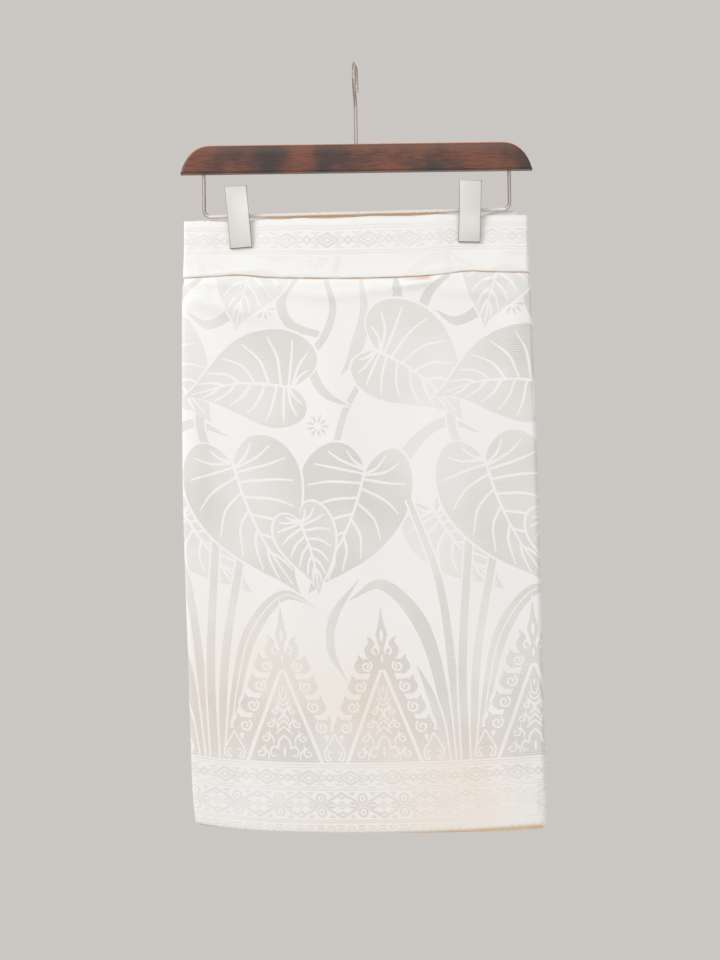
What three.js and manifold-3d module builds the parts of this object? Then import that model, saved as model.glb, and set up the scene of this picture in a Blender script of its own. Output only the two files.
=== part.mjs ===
// A sampin, the short cloth worn over trousers with a Malay shirt, hung on a wooden clip hanger.
// The cloth is a sewn tube with a waistband, folded in three across its width, so the front shows the
// middle third, the back shows the outer third, and four layers lie hidden between them.
// Millimetres, +Z up. X runs across the front, which faces -Y. The origin is the inside top of the hook,
// where the whole thing hangs.

import * as THREE from "three";
import { mergeVertices } from "three/addons/utils/BufferGeometryUtils.js";
import Module from "manifold-3d";

const wasm = await Module();
wasm.setup();

// Driving dimensions
const CLEARANCE = 0.3; // between pieces that touch on the real object
const CLOTH = 1.2; // wall of one cloth layer, seam turnings included
const WIRE_RADIUS = 1.9;
const WIRE_SIDES = 10;
const WIRE_STEP = 15; // degrees of a bend between two sections of the wire
const BORE_SIDES = 16;
const HOOK_RADIUS = 19; // of the wire's centreline
const HOOK_LEAN = 65; // degrees that the stem turns before it meets the round of the hook
const HOOK_TAIL = 8; // straight end of the wire
const HOOK_TURN = 4.5; // degrees that the hook is swivelled in the bar
const BAR_LENGTH = 380;
const BAR_HEIGHT = 30;
const BAR_THICKNESS = 14;
const BAR_TOP = -86;
const BAR_SHOULDER = 33; // how far in from each end the top edge starts to fall
const BAR_FULLNESS = 0.25; // share of the shoulder at which its curve pulls towards the end
const BAR_ROUNDING = 2.5;
const HOOK_SEAT = 18; // depth of the hook's stem in the bar
const ROD_SEAT = 10; // depth of the drop rod's legs in the bar
const ROD_HALF_SPAN = 165;
const ROD_LEFT = -162.2; // height of the drop rod's centreline at its left corner
const ROD_RIGHT = -158;
const ROD_BEND = 7;
const CLIP_WIDTH = 23.5;
const CLIP_ABOVE = 30.5; // clip length over the drop rod
const CLIP_BELOW = 35.2; // and under it
const CLIP_SHEET = 1; // metal of a clip plate
const CLIP_FLANGE = 0.8; // metal of its turned-in sides
const CLIP_FLANGE_TOP = 2.5; // how deep those are at the top
const CLIP_TIP_OUT = 4.6; // inner face of a plate from the middle plane, at the tip
const CLIP_TOP_OUT = 11.2; // and at the top
const CLIP_EAR = 4.2; // radius of the ear round the drop rod
const CLIP_EAR_RISE = 3; // height over the ear at which it starts to stand out
const CLIP_EAR_STEPS = 8;
const CLIP_PLAY = 0.7; // more room round the rod, which lets the clip lean
const CLIP_JAW_OUT = 3.4; // where the lip meets the cloth
const FRONT_DIP = 2.2; // how far the cloth's top edge dips under a clip's ears, in front
const BACK_DIP = 5.6; // and behind
const DIP_WIDTH = 22;
const JAW_PRESS = 1.1; // how far the jaws press the cloth in
const JAW_SPREAD = 28; // half width of the pressed place
const JAW_REACH = 20; // and half its height
const CLIP_FLANGE_EDGE = 4.5; // free edge of a flange beside the cloth
const SPRING_RADIUS = 4.2;
const SPRING_LENGTH = 18;
const SPRING_SIDES = 16;
const EDGE_STRIP = 12; // of the inner third left showing at the back, beside the left fold
const EDGE_RETURN = 10; // cloth turned in at the tube's own edge
const EDGE_STEPS = 4; // steps round that tight fold
const HIDDEN_RETURN = 23; // how far the left fold's inner leg runs in from the left edge
const CLEAR_RUN = 9; // over which the hidden layers thin down towards that leg
const GRIP_REACH = 17; // from a clip's middle to the columns of points beside it
const SIDE_ROUND = 2.5; // where the flat of the front starts, in from a side fold
const FOLD_STEPS = 4; // and round a side fold
const LEG_SLACK = 0.2; // more room over that leg
const LEG_ROOM = 0.6; // and what the hidden layers leave over it
const RIGHT_RETURN = 0.016; // share of the width that the front wall runs round the right fold
const RIGHT_GAP = 0.002; // and from there to the back wall
const HIDDEN_LAYERS = 4;
const GROOVE = 0.9; // gap between two hidden layers at an edge
const GROOVE_FROM_SIDE = 10;
const WAIST_GROOVE = 14; // depth of those gaps under the waist edge
const HEM_GROOVE = 26; // and over the hem
const SEAM_TUCK = 1.2; // how far both pieces roll in at the waist seam
const ROLL_ABOVE = 1.5; // height over which the waistband rolls in there
const ROLL_BELOW = 2.5; // and the panel
const SIDE_FADE = 30; // folds and presses fade out this near to a side fold
const WAIST_FADE = 40; // and folds this near to the waist edge
const LAYER_STEP = 2 * CLOTH + 2 * CLEARANCE; // the tube's own edge: two layers and their gaps
const MERGE = 1e-4; // points nearer than this are one

const WAIST_TOP = -163;
const HEM_LOW = -829;

// The pack's edges and half thickness, down from the waist.
const outline = [
  { z: -163, left: -187.0, right: 184.8, half: 3.9 },
  { z: -180, left: -187.2, right: 184.9, half: 3.8 },
  { z: -200, left: -187.6, right: 185.0, half: 4.0 },
  { z: -226, left: -188.8, right: 185.8, half: 5.0 },
  { z: -232, left: -187.9, right: 186.6, half: 5.3 },
  { z: -240, left: -189.8, right: 187.3, half: 5.9 },
  { z: -290, left: -191.0, right: 188.4, half: 6.1 },
  { z: -380, left: -192.0, right: 190.4, half: 5.9 },
  { z: -468, left: -192.2, right: 192.0, half: 5.8 },
  { z: -560, left: -190.8, right: 193.2, half: 5.8 },
  { z: -640, left: -189.0, right: 194.2, half: 6.0 },
  { z: -720, left: -187.6, right: 195.4, half: 6.3 },
  { z: -790, left: -185.6, right: 196.2, half: 6.8 },
  { z: -829, left: -181.5, right: 196.6, half: 7.2 },
];

// Edges that run across the cloth: the waist edge in front and behind, the seam, and the hem in front
// and behind.
const waistFront = [
  { x: -190, z: -167.0 },
  { x: -108, z: -166.2 },
  { x: 0, z: -164.2 },
  { x: 100, z: -162.3 },
  { x: 140, z: -164.4 },
  { x: 190, z: -165.0 },
];
const waistBack = [
  { x: -190, z: -167.0 },
  { x: -165, z: -165.4 },
  { x: -140, z: -163.8 },
  { x: 0, z: -161.4 },
  { x: 100, z: -160.2 },
  { x: 190, z: -158.6 },
];
const seamLine = [
  { x: -190, z: -228.8 },
  { x: -160, z: -227.6 },
  { x: -128, z: -225.9 },
  { x: -100, z: -228.7 },
  { x: -60, z: -230.2 },
  { x: 0, z: -231.0 },
  { x: 60, z: -230.1 },
  { x: 90, z: -227.9 },
  { x: 119, z: -225.0 },
  { x: 150, z: -226.2 },
  { x: 190, z: -227.3 },
];
const hemFront = [
  { x: -190, z: -815.5 },
  { x: -160, z: -821.0 },
  { x: -125, z: -825.0 },
  { x: -60, z: -828.0 },
  { x: 6, z: -829.0 },
  { x: 97, z: -827.3 },
  { x: 146, z: -824.7 },
  { x: 197, z: -822.0 },
];
const hemBack = [
  { x: -190, z: -817.0 },
  { x: -125, z: -825.5 },
  { x: 6, z: -829.6 },
  { x: 97, z: -830.0 },
  { x: 150, z: -828.6 },
  { x: 197, z: -825.6 },
];

// The largest soft ridges (height over 0) and troughs of the front and back, with their lean from upright
// in degrees.
const frontFolds = [
  { x: -150, z: -300, lean: 16, length: 150, width: 24, height: 0.9 },
  { x: -70, z: -600, lean: -3, length: 380, width: 30, height: 1.3 },
  { x: 20, z: -660, lean: 2, length: 320, width: 30, height: -1.1 },
  { x: 105, z: -560, lean: 4, length: 430, width: 32, height: 1.4 },
  { x: 72, z: -240, lean: 74, length: 60, width: 12, height: 1.2 },
];
const backFolds = [
  { x: -90, z: -520, lean: 3, length: 430, width: 32, height: 1.3 },
  { x: 0, z: -640, lean: -2, length: 330, width: 34, height: -1.0 },
  { x: 95, z: -480, lean: -5, length: 380, width: 30, height: 1.1 },
];

// Where the two clips sit on the drop rod, and their lean in degrees, foot to the right.
const clips = [
  { name: "left", x: -127.8, lean: 4.1 },
  { name: "right", x: 121.8, lean: -1.8 },
];

const { sin, cos, tan, PI, hypot, min, max, exp, abs } = Math;
const degrees = THREE.MathUtils.degToRad;
const mix = THREE.MathUtils.lerp;

// Smooth value of a table's column at a place along it: a cubic whose slopes are the neighbours' slopes.
function read(table, key, column, at) {
  const rising = table[0][key] < table[table.length - 1][key];
  const rows = rising ? table : [...table].reverse();
  const t = min(max(at, rows[0][key]), rows[rows.length - 1][key]);
  let i = 0;
  while (i < rows.length - 2 && t > rows[i + 1][key]) i += 1;
  const slope = (k) => {
    const a = rows[max(k - 1, 0)];
    const b = rows[min(k + 1, rows.length - 1)];
    return (b[column] - a[column]) / (b[key] - a[key]);
  };
  const step = rows[i + 1][key] - rows[i][key];
  const s = (t - rows[i][key]) / step;
  const a = rows[i][column];
  const b = rows[i + 1][column];
  return (
    a * (2 * s ** 3 - 3 * s ** 2 + 1) +
    b * (3 * s ** 2 - 2 * s ** 3) +
    slope(i) * step * (s ** 3 - 2 * s ** 2 + s) +
    slope(i + 1) * step * (s ** 3 - s ** 2)
  );
}

const edge = (table, x) => read(table, "x", "z", x);
const seamAt = (x) => edge(seamLine, x);
const rodAt = (x) => mix(ROD_LEFT, ROD_RIGHT, (x + ROD_HALF_SPAN) / (2 * ROD_HALF_SPAN));

// The cloth's upper edge dips under each clip's ears and spring.
function waistAt(table, x, depth) {
  const dip = clips.reduce((sum, clip) => sum + exp(-(((x - clip.x) / DIP_WIDTH) ** 4)), 0);
  return edge(table, x) - depth * dip;
}

function relief(folds, x, z) {
  return folds.reduce((sum, fold) => {
    const dx = x - fold.x;
    const dz = z - fold.z;
    const along = dz * cos(degrees(fold.lean)) - dx * sin(degrees(fold.lean));
    const across = dx * cos(degrees(fold.lean)) + dz * sin(degrees(fold.lean));
    const far = ((2 * along) / fold.length) ** 2 + (across / fold.width) ** 2;
    return sum + fold.height * exp(-far);
  }, 0);
}

// Half thickness of the pack towards the front or back: the table's, pressed in by the clips' jaws and at
// the seam, and raised by the folds, which fade out at the side folds.
function halfAt(x, z, folds) {
  const left = read(outline, "z", "left", z);
  const right = read(outline, "z", "right", z);
  const fade = min(max(min(x - left, right - x) / SIDE_FADE, 0), 1);
  const jaws = clips.reduce((sum, clip) => {
    const jawZ = rodAt(clip.x) - CLIP_BELOW;
    const far = ((x - clip.x) / JAW_SPREAD) ** 4 + ((z - jawZ) / JAW_REACH) ** 2;
    return sum + JAW_PRESS * exp(-far);
  }, 0);
  const fromSeam = z - seamAt(x);
  const tuck = SEAM_TUCK * exp(-abs(fromSeam) / (fromSeam > 0 ? ROLL_ABOVE : ROLL_BELOW));
  const rise = relief(folds, x, z) * fade * min(max((WAIST_TOP - z) / WAIST_FADE, 0), 1);
  return read(outline, "z", "half", z) - jaws * fade - tuck + rise;
}

// A point of the pack's outline at height z, moved inwards by inset. The zones run round the pack from the
// hidden leg of the left fold, across the front, and round the right fold onto the back.
function packPoint(zone, share, z, inset) {
  const left = read(outline, "z", "left", z);
  const right = read(outline, "z", "right", z);
  const edgeHalf = halfAt(left, z, frontFolds);
  const leftRadius = edgeHalf - LAYER_STEP / 2;
  const rightRadius = halfAt(right, z, frontFolds);
  const leftMiddle = -LAYER_STEP / 2;
  const front = { from: left + leftRadius, to: right - rightRadius };
  if (zone === "leftLeg") {
    const x = mix(left + HIDDEN_RETURN, front.from, share);
    const under = halfAt(x, z, backFolds) - LAYER_STEP - LEG_SLACK;
    return [x, (share < 1 ? under : leftMiddle + leftRadius) - inset, z];
  }
  if (zone === "leftFold") {
    const a = PI / 2 + PI * share;
    const r = leftRadius - inset;
    return [front.from + r * cos(a), leftMiddle + r * sin(a), z];
  }
  if (zone === "front") {
    const x = mix(front.from, front.to, share);
    return [x, -halfAt(x, z, frontFolds) + inset, z];
  }
  if (zone === "rightFold") {
    const a = -PI / 2 + PI * share;
    const r = rightRadius - inset;
    return [front.to + r * cos(a), r * sin(a), z];
  }
  if (zone === "back") {
    const x = max(mix(front.to, front.from, share), left + EDGE_STRIP + CLOTH);
    return [x, halfAt(x, z, backFolds) - inset, z];
  }
  throw new Error("no zone " + zone);
}

// Places across the front, as shares of its flat width, close together where the clips grip.
const flatFrom = read(outline, "z", "left", WAIST_TOP) + SIDE_ROUND;
const flatTo = read(outline, "z", "right", WAIST_TOP) - SIDE_ROUND;
const stops = clips.flatMap((clip) => [clip.x - GRIP_REACH, clip.x + GRIP_REACH]);
const shares = spread([flatFrom, ...stops, flatTo], [2, 2, 8, 2, 2]).map(
  (x) => (x - flatFrom) / (flatTo - flatFrom),
);
const across = shares.map((share) => ({ zone: "front", share }));
const behind = shares.map((share) => ({ zone: "back", share: 1 - share })).reverse();

// Values from one stop to the next, each stretch cut into its own number of steps.
function spread(at, steps) {
  const values = [at[0]];
  steps.forEach((count, k) => {
    for (let i = 1; i <= count; i += 1) values.push(mix(at[k], at[k + 1], i / count));
  });
  return values;
}

const round = (zone, steps, from = 0, to = 1) =>
  spread([from, to], [steps]).map((share) => ({ zone, share }));

function facesOut(geometry) {
  const p = geometry.getAttribute("position");
  const index = geometry.index.array;
  const at = (k) => new THREE.Vector3().fromBufferAttribute(p, index[k]);
  let volume = 0;
  for (let i = 0; i < index.length; i += 3)
    volume += at(i).dot(at(i + 1).cross(at(i + 2)));
  if (volume < 0)
    for (let i = 0; i < index.length; i += 3)
      [index[i + 1], index[i + 2]] = [index[i + 2], index[i + 1]];
  return geometry;
}

// A closed solid between two grids of points of the same size. Where the grids share their side columns, as
// on a rounded slab, the sides need no faces.
function between(outer, inner, sidesMeet = false) {
  const rows = outer.length;
  const columns = outer[0].length;
  const positions = [...outer.flat(), ...inner.flat()].flat();
  const index = [];
  const o = (r, c) => r * columns + c;
  const n = (r, c) => rows * columns + r * columns + c;
  const quad = (a, b, c, d) => index.push(a, b, c, a, c, d);
  for (let r = 0; r < rows - 1; r += 1)
    for (let c = 0; c < columns - 1; c += 1) {
      quad(o(r, c), o(r, c + 1), o(r + 1, c + 1), o(r + 1, c));
      quad(n(r, c), n(r + 1, c), n(r + 1, c + 1), n(r, c + 1));
    }
  for (let c = 0; c < columns - 1; c += 1)
    for (const [r, flip] of [[0, true], [rows - 1, false]]) {
      const ring = [o(r, c), o(r, c + 1), n(r, c + 1), n(r, c)];
      quad(...(flip ? ring.reverse() : ring));
    }
  if (!sidesMeet)
    for (let r = 0; r < rows - 1; r += 1)
      for (const [c, flip] of [[0, false], [columns - 1, true]]) {
        const ring = [o(r, c), o(r + 1, c), n(r + 1, c), n(r, c)];
        quad(...(flip ? ring.reverse() : ring));
      }
  const geometry = new THREE.BufferGeometry();
  geometry.setAttribute("position", new THREE.Float32BufferAttribute(positions, 3));
  geometry.setIndex(index);
  return facesOut(mergeVertices(geometry, MERGE));
}

// A grid of points on the pack, row by row from an upper edge line to a lower one.
function grid(columns, rows, upper, lower, inset) {
  return rows.map((share) =>
    columns.map(({ zone, share: s }) => {
      const [x] = packPoint(zone, s, WAIST_TOP, 0);
      const z = mix(upper(x), lower(x), share);
      return packPoint(zone, s, z, inset);
    }),
  );
}

// Heights of the rows of points, as shares of the way down, close together at the seam.
const bandRows = [0, 0.18, 0.36, 0.54, 0.75, 0.92, 0.975, 1];
const panelRows = [0, 0.004, 0.012, 0.035, 0.1, 0.19, 0.3, 0.42, 0.54, 0.66, 0.78, 0.89, 1];

// Columns of points round the front stretch of cloth and the back one.
const frontColumns = [
  ...round("leftLeg", 2),
  ...round("leftFold", FOLD_STEPS).slice(1),
  ...across.slice(1),
  ...round("rightFold", FOLD_STEPS).slice(1),
  { zone: "back", share: RIGHT_RETURN },
];
const backColumns = [{ zone: "back", share: RIGHT_RETURN + RIGHT_GAP }, ...behind.slice(1)];

const seamAbove = (x) => seamAt(x) + CLEARANCE / 2;
const seamBelow = (x) => seamAt(x) - CLEARANCE / 2;
const waistFrontAt = (x) => waistAt(waistFront, x, FRONT_DIP);
const waistBackAt = (x) => waistAt(waistBack, x, BACK_DIP);
const hemFrontAt = (x) => edge(hemFront, x);
const hemBackAt = (x) => edge(hemBack, x);

function frontWall(rows, upper, lower) {
  return between(
    grid(frontColumns, rows, upper, lower, 0),
    grid(frontColumns, rows, upper, lower, CLOTH),
  );
}

// The back stretch ends at the tube's own edge, a tight fold whose leg is turned in towards the front.
function backWall(rows, upper, lower) {
  const foldRadius = CLOTH + CLEARANCE / 2;
  const withEdge = (inset) => {
    const face = grid(backColumns, rows, upper, lower, inset);
    return face.map((row) => {
      const [x, y, z] = row[row.length - 1];
      const middle = y + inset - foldRadius;
      const r = foldRadius - inset;
      const turn = spread([PI / 2, (3 * PI) / 2], [EDGE_STEPS])
        .slice(1)
        .map((a) => [x + r * cos(a), middle + r * sin(a), z]);
      return [...row, ...turn, [x + EDGE_RETURN, middle - r, z]];
    });
  };
  return between(withEdge(0), withEdge(CLOTH));
}

// The hidden layers fill the pack between the two walls. At the left they give way to the fold's inner leg.
function hiddenLayers(rows, upper, lower) {
  const inset = CLOTH + CLEARANCE;
  const quarter = FOLD_STEPS / 2;
  const frontFace = grid(
    [
      ...round("leftFold", quarter, 0.5, 1),
      ...across.slice(1),
      ...round("rightFold", quarter, 0, 0.5).slice(1),
    ],
    rows,
    upper,
    lower,
    inset,
  );
  const last = across.length - 1;
  const backFace = frontFace.map((row) => {
    const left = round("leftFold", quarter, 0.5, 0).map(({ zone, share }, k) =>
      packPoint(zone, share, row[k][2], inset),
    );
    const right = round("rightFold", quarter, 1, 0.5).map(({ zone, share }, k) =>
      packPoint(zone, share, row[quarter + last + k][2], inset),
    );
    const straight = row.slice(quarter + 1, quarter + last).map(([x, , z]) => {
      const fromLeft = x - read(outline, "z", "left", z);
      const clear = min(max((fromLeft - HIDDEN_RETURN) / CLEAR_RUN - 1, 0), 1);
      const step = (LAYER_STEP + LEG_ROOM) * (1 - clear);
      const half = mix(halfAt(x, z, frontFolds), halfAt(x, z, backFolds), clear);
      return [x, half - inset - step, z];
    });
    return [...left, ...straight, ...right];
  });
  return between(frontFace, backFace, true);
}

// Booleans
function solid(geometry) {
  const bare = geometry.clone();
  for (const name of ["normal", "uv"]) bare.deleteAttribute(name);
  const merged = mergeVertices(bare, MERGE);
  return new wasm.Manifold(
    new wasm.Mesh({
      numProp: 3,
      vertProperties: new Float32Array(merged.getAttribute("position").array),
      triVerts: new Uint32Array(merged.index.array),
    }),
  );
}

function geometryOf(manifold) {
  const mesh = manifold.getMesh();
  const geometry = new THREE.BufferGeometry();
  geometry.setAttribute("position", new THREE.BufferAttribute(mesh.vertProperties, 3));
  geometry.setIndex(new THREE.BufferAttribute(mesh.triVerts, 1));
  return geometry;
}

const cut = (geometry, tools) =>
  geometryOf(tools.reduce((body, tool) => body.subtract(solid(tool)), solid(geometry)));
const join = (pieces) => geometryOf(pieces.map(solid).reduce((a, b) => a.add(b)));

// Slots between the hidden layers, in from the edge of the pack at height z.
function grooves(z, depth) {
  const from = read(outline, "z", "left", z) + HIDDEN_RETURN + GROOVE_FROM_SIDE;
  const to = read(outline, "z", "right", z) - GROOVE_FROM_SIDE;
  const room = 2 * (read(outline, "z", "half", z) - CLOTH - CLEARANCE);
  return Array.from({ length: HIDDEN_LAYERS - 1 }, (_, k) => {
    const slot = new THREE.BoxGeometry(to - from, GROOVE, 2 * depth);
    return slot.translate((from + to) / 2, room * ((k + 1) / HIDDEN_LAYERS - 0.5), z);
  });
}

// Wire bent along a path of points, each with the direction of the wire there.
class WirePath extends THREE.Curve {
  constructor(stations) {
    super();
    this.stations = stations;
  }
  at(t) {
    return this.stations[Math.round(t * (this.stations.length - 1))];
  }
  getPoint(t) {
    return this.at(t).point.clone();
  }
  getPointAt(t) {
    return this.getPoint(t);
  }
  getTangentAt(t) {
    return this.at(t).along.clone();
  }
  getSpacedPoints(n) {
    return Array.from({ length: n + 1 }, (_, i) => this.getPoint(i / n));
  }
}

// Walks a path in the plane of two directions: straight runs, as [length], and arcs, as [radius, degrees].
function walk(start, heading, side, legs) {
  const point = start.clone();
  const along = heading.clone();
  const left = side.clone();
  const stations = [{ point: point.clone(), along: along.clone() }];
  for (const [size, turn] of legs) {
    if (turn === undefined) {
      point.addScaledVector(along, size);
      stations.push({ point: point.clone(), along: along.clone() });
      continue;
    }
    const centre = point.clone().addScaledVector(left, Math.sign(turn) * size);
    const steps = Math.ceil(abs(turn) / WIRE_STEP);
    const out = point.clone().sub(centre);
    const ahead = along.clone();
    for (let k = 1; k <= steps; k += 1) {
      const a = degrees(abs(turn) * (k / steps));
      const spot = centre.clone().addScaledVector(out, cos(a)).addScaledVector(ahead, size * sin(a));
      const way = ahead.clone().multiplyScalar(cos(a)).addScaledVector(out, -sin(a) / size);
      stations.push({ point: spot, along: way });
    }
    const last = stations[stations.length - 1];
    point.copy(last.point);
    along.copy(last.along);
    left.copy(side).multiplyScalar(cos(degrees(turn))).addScaledVector(heading, -sin(degrees(turn)));
    side = left.clone();
    heading = along.clone();
  }
  return stations;
}

const circle = (radius, sides) =>
  Array.from({ length: sides }, (_, k) => {
    const a = (2 * PI * k) / sides;
    return new THREE.Vector2(radius * cos(a), radius * sin(a));
  });

function wire(stations) {
  const section = new THREE.Shape(circle(WIRE_RADIUS, WIRE_SIDES));
  return new THREE.ExtrudeGeometry(section, {
    steps: stations.length - 1,
    bevelEnabled: false,
    extrudePath: new WirePath(stations),
  });
}

const X = new THREE.Vector3(1, 0, 0);
const Y = new THREE.Vector3(0, 1, 0);
const Z = new THREE.Vector3(0, 0, 1);

function hook() {
  const lean = degrees(HOOK_LEAN);
  const easing = (HOOK_RADIUS * cos(lean)) / (1 - cos(lean)); // radius of the bend out of the stem
  const middle = WIRE_RADIUS - HOOK_RADIUS;
  const bendStart = middle - (HOOK_RADIUS + easing) * sin(lean);
  const foot = BAR_TOP - HOOK_SEAT;
  // The stem turns towards the front, runs back over the top and ends in a straight tail behind.
  const stations = walk(new THREE.Vector3(0, 0, foot), Z, Y.clone().negate(), [
    [bendStart - foot],
    [easing, HOOK_LEAN],
    [HOOK_RADIUS, -(180 + HOOK_LEAN)],
    [HOOK_TAIL],
  ]);
  return wire(stations).rotateZ(-degrees(HOOK_TURN));
}

function dropRod() {
  const slope = THREE.MathUtils.radToDeg(Math.atan((ROD_RIGHT - ROD_LEFT) / (2 * ROD_HALF_SPAN)));
  const top = BAR_TOP - BAR_HEIGHT + ROD_SEAT;
  const trimLeft = ROD_BEND * tan(degrees((90 + slope) / 2));
  const trimRight = ROD_BEND * tan(degrees((90 - slope) / 2));
  const span = hypot(2 * ROD_HALF_SPAN, ROD_RIGHT - ROD_LEFT) - trimLeft - trimRight;
  const down = Z.clone().negate();
  return wire(
    walk(new THREE.Vector3(-ROD_HALF_SPAN, 0, top), down, X, [
      [top - ROD_LEFT - trimLeft],
      [ROD_BEND, 90 + slope],
      [span],
      [ROD_BEND, 90 - slope],
      [top - ROD_RIGHT - trimRight],
    ]),
  );
}

function bar() {
  const end = BAR_LENGTH / 2;
  const bottom = BAR_TOP - BAR_HEIGHT;
  const face = new THREE.Shape();
  face.moveTo(-end, bottom);
  face.lineTo(end, bottom);
  const pull = BAR_FULLNESS * BAR_SHOULDER;
  face.quadraticCurveTo(end - pull, BAR_TOP, end - BAR_SHOULDER, BAR_TOP);
  face.lineTo(-end + BAR_SHOULDER, BAR_TOP);
  face.quadraticCurveTo(-end + pull, BAR_TOP, -end, bottom);
  const blank = new THREE.ExtrudeGeometry(face, {
    depth: BAR_THICKNESS - 2 * BAR_ROUNDING,
    curveSegments: 8,
    bevelThickness: BAR_ROUNDING,
    bevelSize: BAR_ROUNDING,
    bevelOffset: -BAR_ROUNDING,
    bevelSegments: 3,
  });
  blank.rotateX(PI / 2).translate(0, BAR_THICKNESS / 2 - BAR_ROUNDING, 0);
  const radius = (WIRE_RADIUS + CLEARANCE) / cos(PI / BORE_SIDES);
  const bore = (x, z, depth) => {
    const drill = new THREE.CylinderGeometry(radius, radius, 2 * (depth + CLEARANCE), BORE_SIDES);
    return drill.rotateX(PI / 2).translate(x, 0, z);
  };
  return cut(blank, [
    bore(0, BAR_TOP, HOOK_SEAT),
    bore(-ROD_HALF_SPAN, bottom, ROD_SEAT),
    bore(ROD_HALF_SPAN, bottom, ROD_SEAT),
  ]);
}

// A flat shape in the Y-Z plane, given as [y, z] points, made as thick as width along X.
const sideways = new THREE.Matrix4().makeBasis(Y, Z, X);
function slab(points, x, width, hole) {
  const shape = new THREE.Shape(points.map(([y, z]) => new THREE.Vector2(y, z)));
  if (hole) shape.holes.push(new THREE.Path(circle(hole, BORE_SIDES)));
  return new THREE.ExtrudeGeometry(shape, { depth: width, bevelEnabled: false })
    .applyMatrix4(sideways)
    .translate(x, 0, 0);
}

// One plate of a clip, about the drop rod's centreline: a sheet that leans in to the jaw, a lip that grips
// the cloth, and two flanges with ears round the rod. The back plate is narrower, so its ears pass inside.
function clipPlate(width, side) {
  const inner = (z) => mix(CLIP_TIP_OUT, CLIP_TOP_OUT, (z + CLIP_BELOW) / (CLIP_ABOVE + CLIP_BELOW));
  const out = (y) => side * y;
  const sheet = [
    [out(inner(-CLIP_BELOW) + CLIP_SHEET), -CLIP_BELOW],
    [out(CLIP_JAW_OUT), -CLIP_BELOW],
    [out(CLIP_JAW_OUT), -CLIP_BELOW + CLIP_SHEET],
    [out(inner(-CLIP_BELOW)), -CLIP_BELOW + CLIP_SHEET],
    [out(inner(CLIP_ABOVE)), CLIP_ABOVE],
    [out(inner(CLIP_ABOVE) + CLIP_SHEET), CLIP_ABOVE],
  ];
  const ear = spread([PI / 2, -PI / 2], [CLIP_EAR_STEPS]).map((a) => [
    out(-CLIP_EAR * cos(a)),
    CLIP_EAR * sin(a),
  ]);
  const rooted = CLIP_SHEET / 2;
  const flange = [
    [out(inner(CLIP_ABOVE) + rooted), CLIP_ABOVE],
    [out(inner(CLIP_ABOVE) - CLIP_FLANGE_TOP), CLIP_ABOVE],
    [out(CLIP_FLANGE_EDGE), CLIP_EAR + CLIP_EAR_RISE],
    ...ear,
    [out(CLIP_FLANGE_EDGE), -CLIP_EAR],
    [out(CLIP_FLANGE_EDGE), -CLIP_BELOW + rooted],
    [out(inner(-CLIP_BELOW) + rooted), -CLIP_BELOW + rooted],
  ];
  const hole = WIRE_RADIUS + CLEARANCE + CLIP_PLAY;
  return join([
    slab(sheet, -width / 2, width),
    slab(flange, -width / 2, CLIP_FLANGE, hole),
    slab(flange, width / 2 - CLIP_FLANGE, CLIP_FLANGE, hole),
  ]);
}

function clipSpring() {
  const bore = WIRE_RADIUS + CLEARANCE + CLIP_PLAY;
  const half = SPRING_LENGTH / 2;
  const profile = [
    [bore, -half],
    [SPRING_RADIUS, -half],
    [SPRING_RADIUS, half],
    [bore, half],
    [bore, -half],
  ].map(([r, y]) => new THREE.Vector2(r, y));
  return new THREE.LatheGeometry(profile, SPRING_SIDES).rotateZ(-PI / 2);
}

// Finishes
const finish = (color, roughness, metalness) =>
  new THREE.MeshStandardMaterial({ color, roughness, metalness });
const brocade = finish(0xeeeeec, 0.6, 0);
const insideCloth = finish(0xe6e4e0, 0.75, 0);
const wood = finish(0x4a2a22, 0.35, 0);
const chrome = finish(0xc9c6c2, 0.25, 1);
const brushed = finish(0xd2d1cd, 0.35, 1);

const part = new THREE.Group();
function add(name, geometry, material, parent = part) {
  const mesh = new THREE.Mesh(geometry, material);
  mesh.name = name;
  parent.add(mesh);
  return mesh;
}

add("band_front", frontWall(bandRows, waistFrontAt, seamAbove), brocade);
add("band_back", backWall(bandRows, waistBackAt, seamAbove), brocade);
const bandCore = hiddenLayers(bandRows, waistFrontAt, seamAbove);
add("band_layers", cut(bandCore, grooves(WAIST_TOP, WAIST_GROOVE)), insideCloth);

add("panel_front", frontWall(panelRows, seamBelow, hemFrontAt), brocade);
add("panel_back", backWall(panelRows, seamBelow, hemBackAt), brocade);
const panelCore = hiddenLayers(panelRows, seamBelow, hemBackAt);
add("panel_layers", cut(panelCore, grooves(HEM_LOW, HEM_GROOVE)), insideCloth);

add("hanger_bar", bar(), wood);
add("hanger_hook", hook(), chrome);
add("hanger_rod", dropRod(), chrome);

for (const { name, x, lean } of clips) {
  const clip = new THREE.Group();
  clip.position.set(x, 0, rodAt(x));
  clip.rotation.y = -degrees(lean);
  part.add(clip);
  const narrower = 2 * (CLIP_FLANGE + CLEARANCE);
  add(`clip_${name}_front`, clipPlate(CLIP_WIDTH, -1), brushed, clip);
  add(`clip_${name}_back`, clipPlate(CLIP_WIDTH - narrower, 1), brushed, clip);
  add(`clip_${name}_spring`, clipSpring(), chrome, clip);
}

export default part;
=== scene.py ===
import math

import bpy
import numpy as np
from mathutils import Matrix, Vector
from mathutils.geometry import delaunay_2d_cdt


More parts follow.
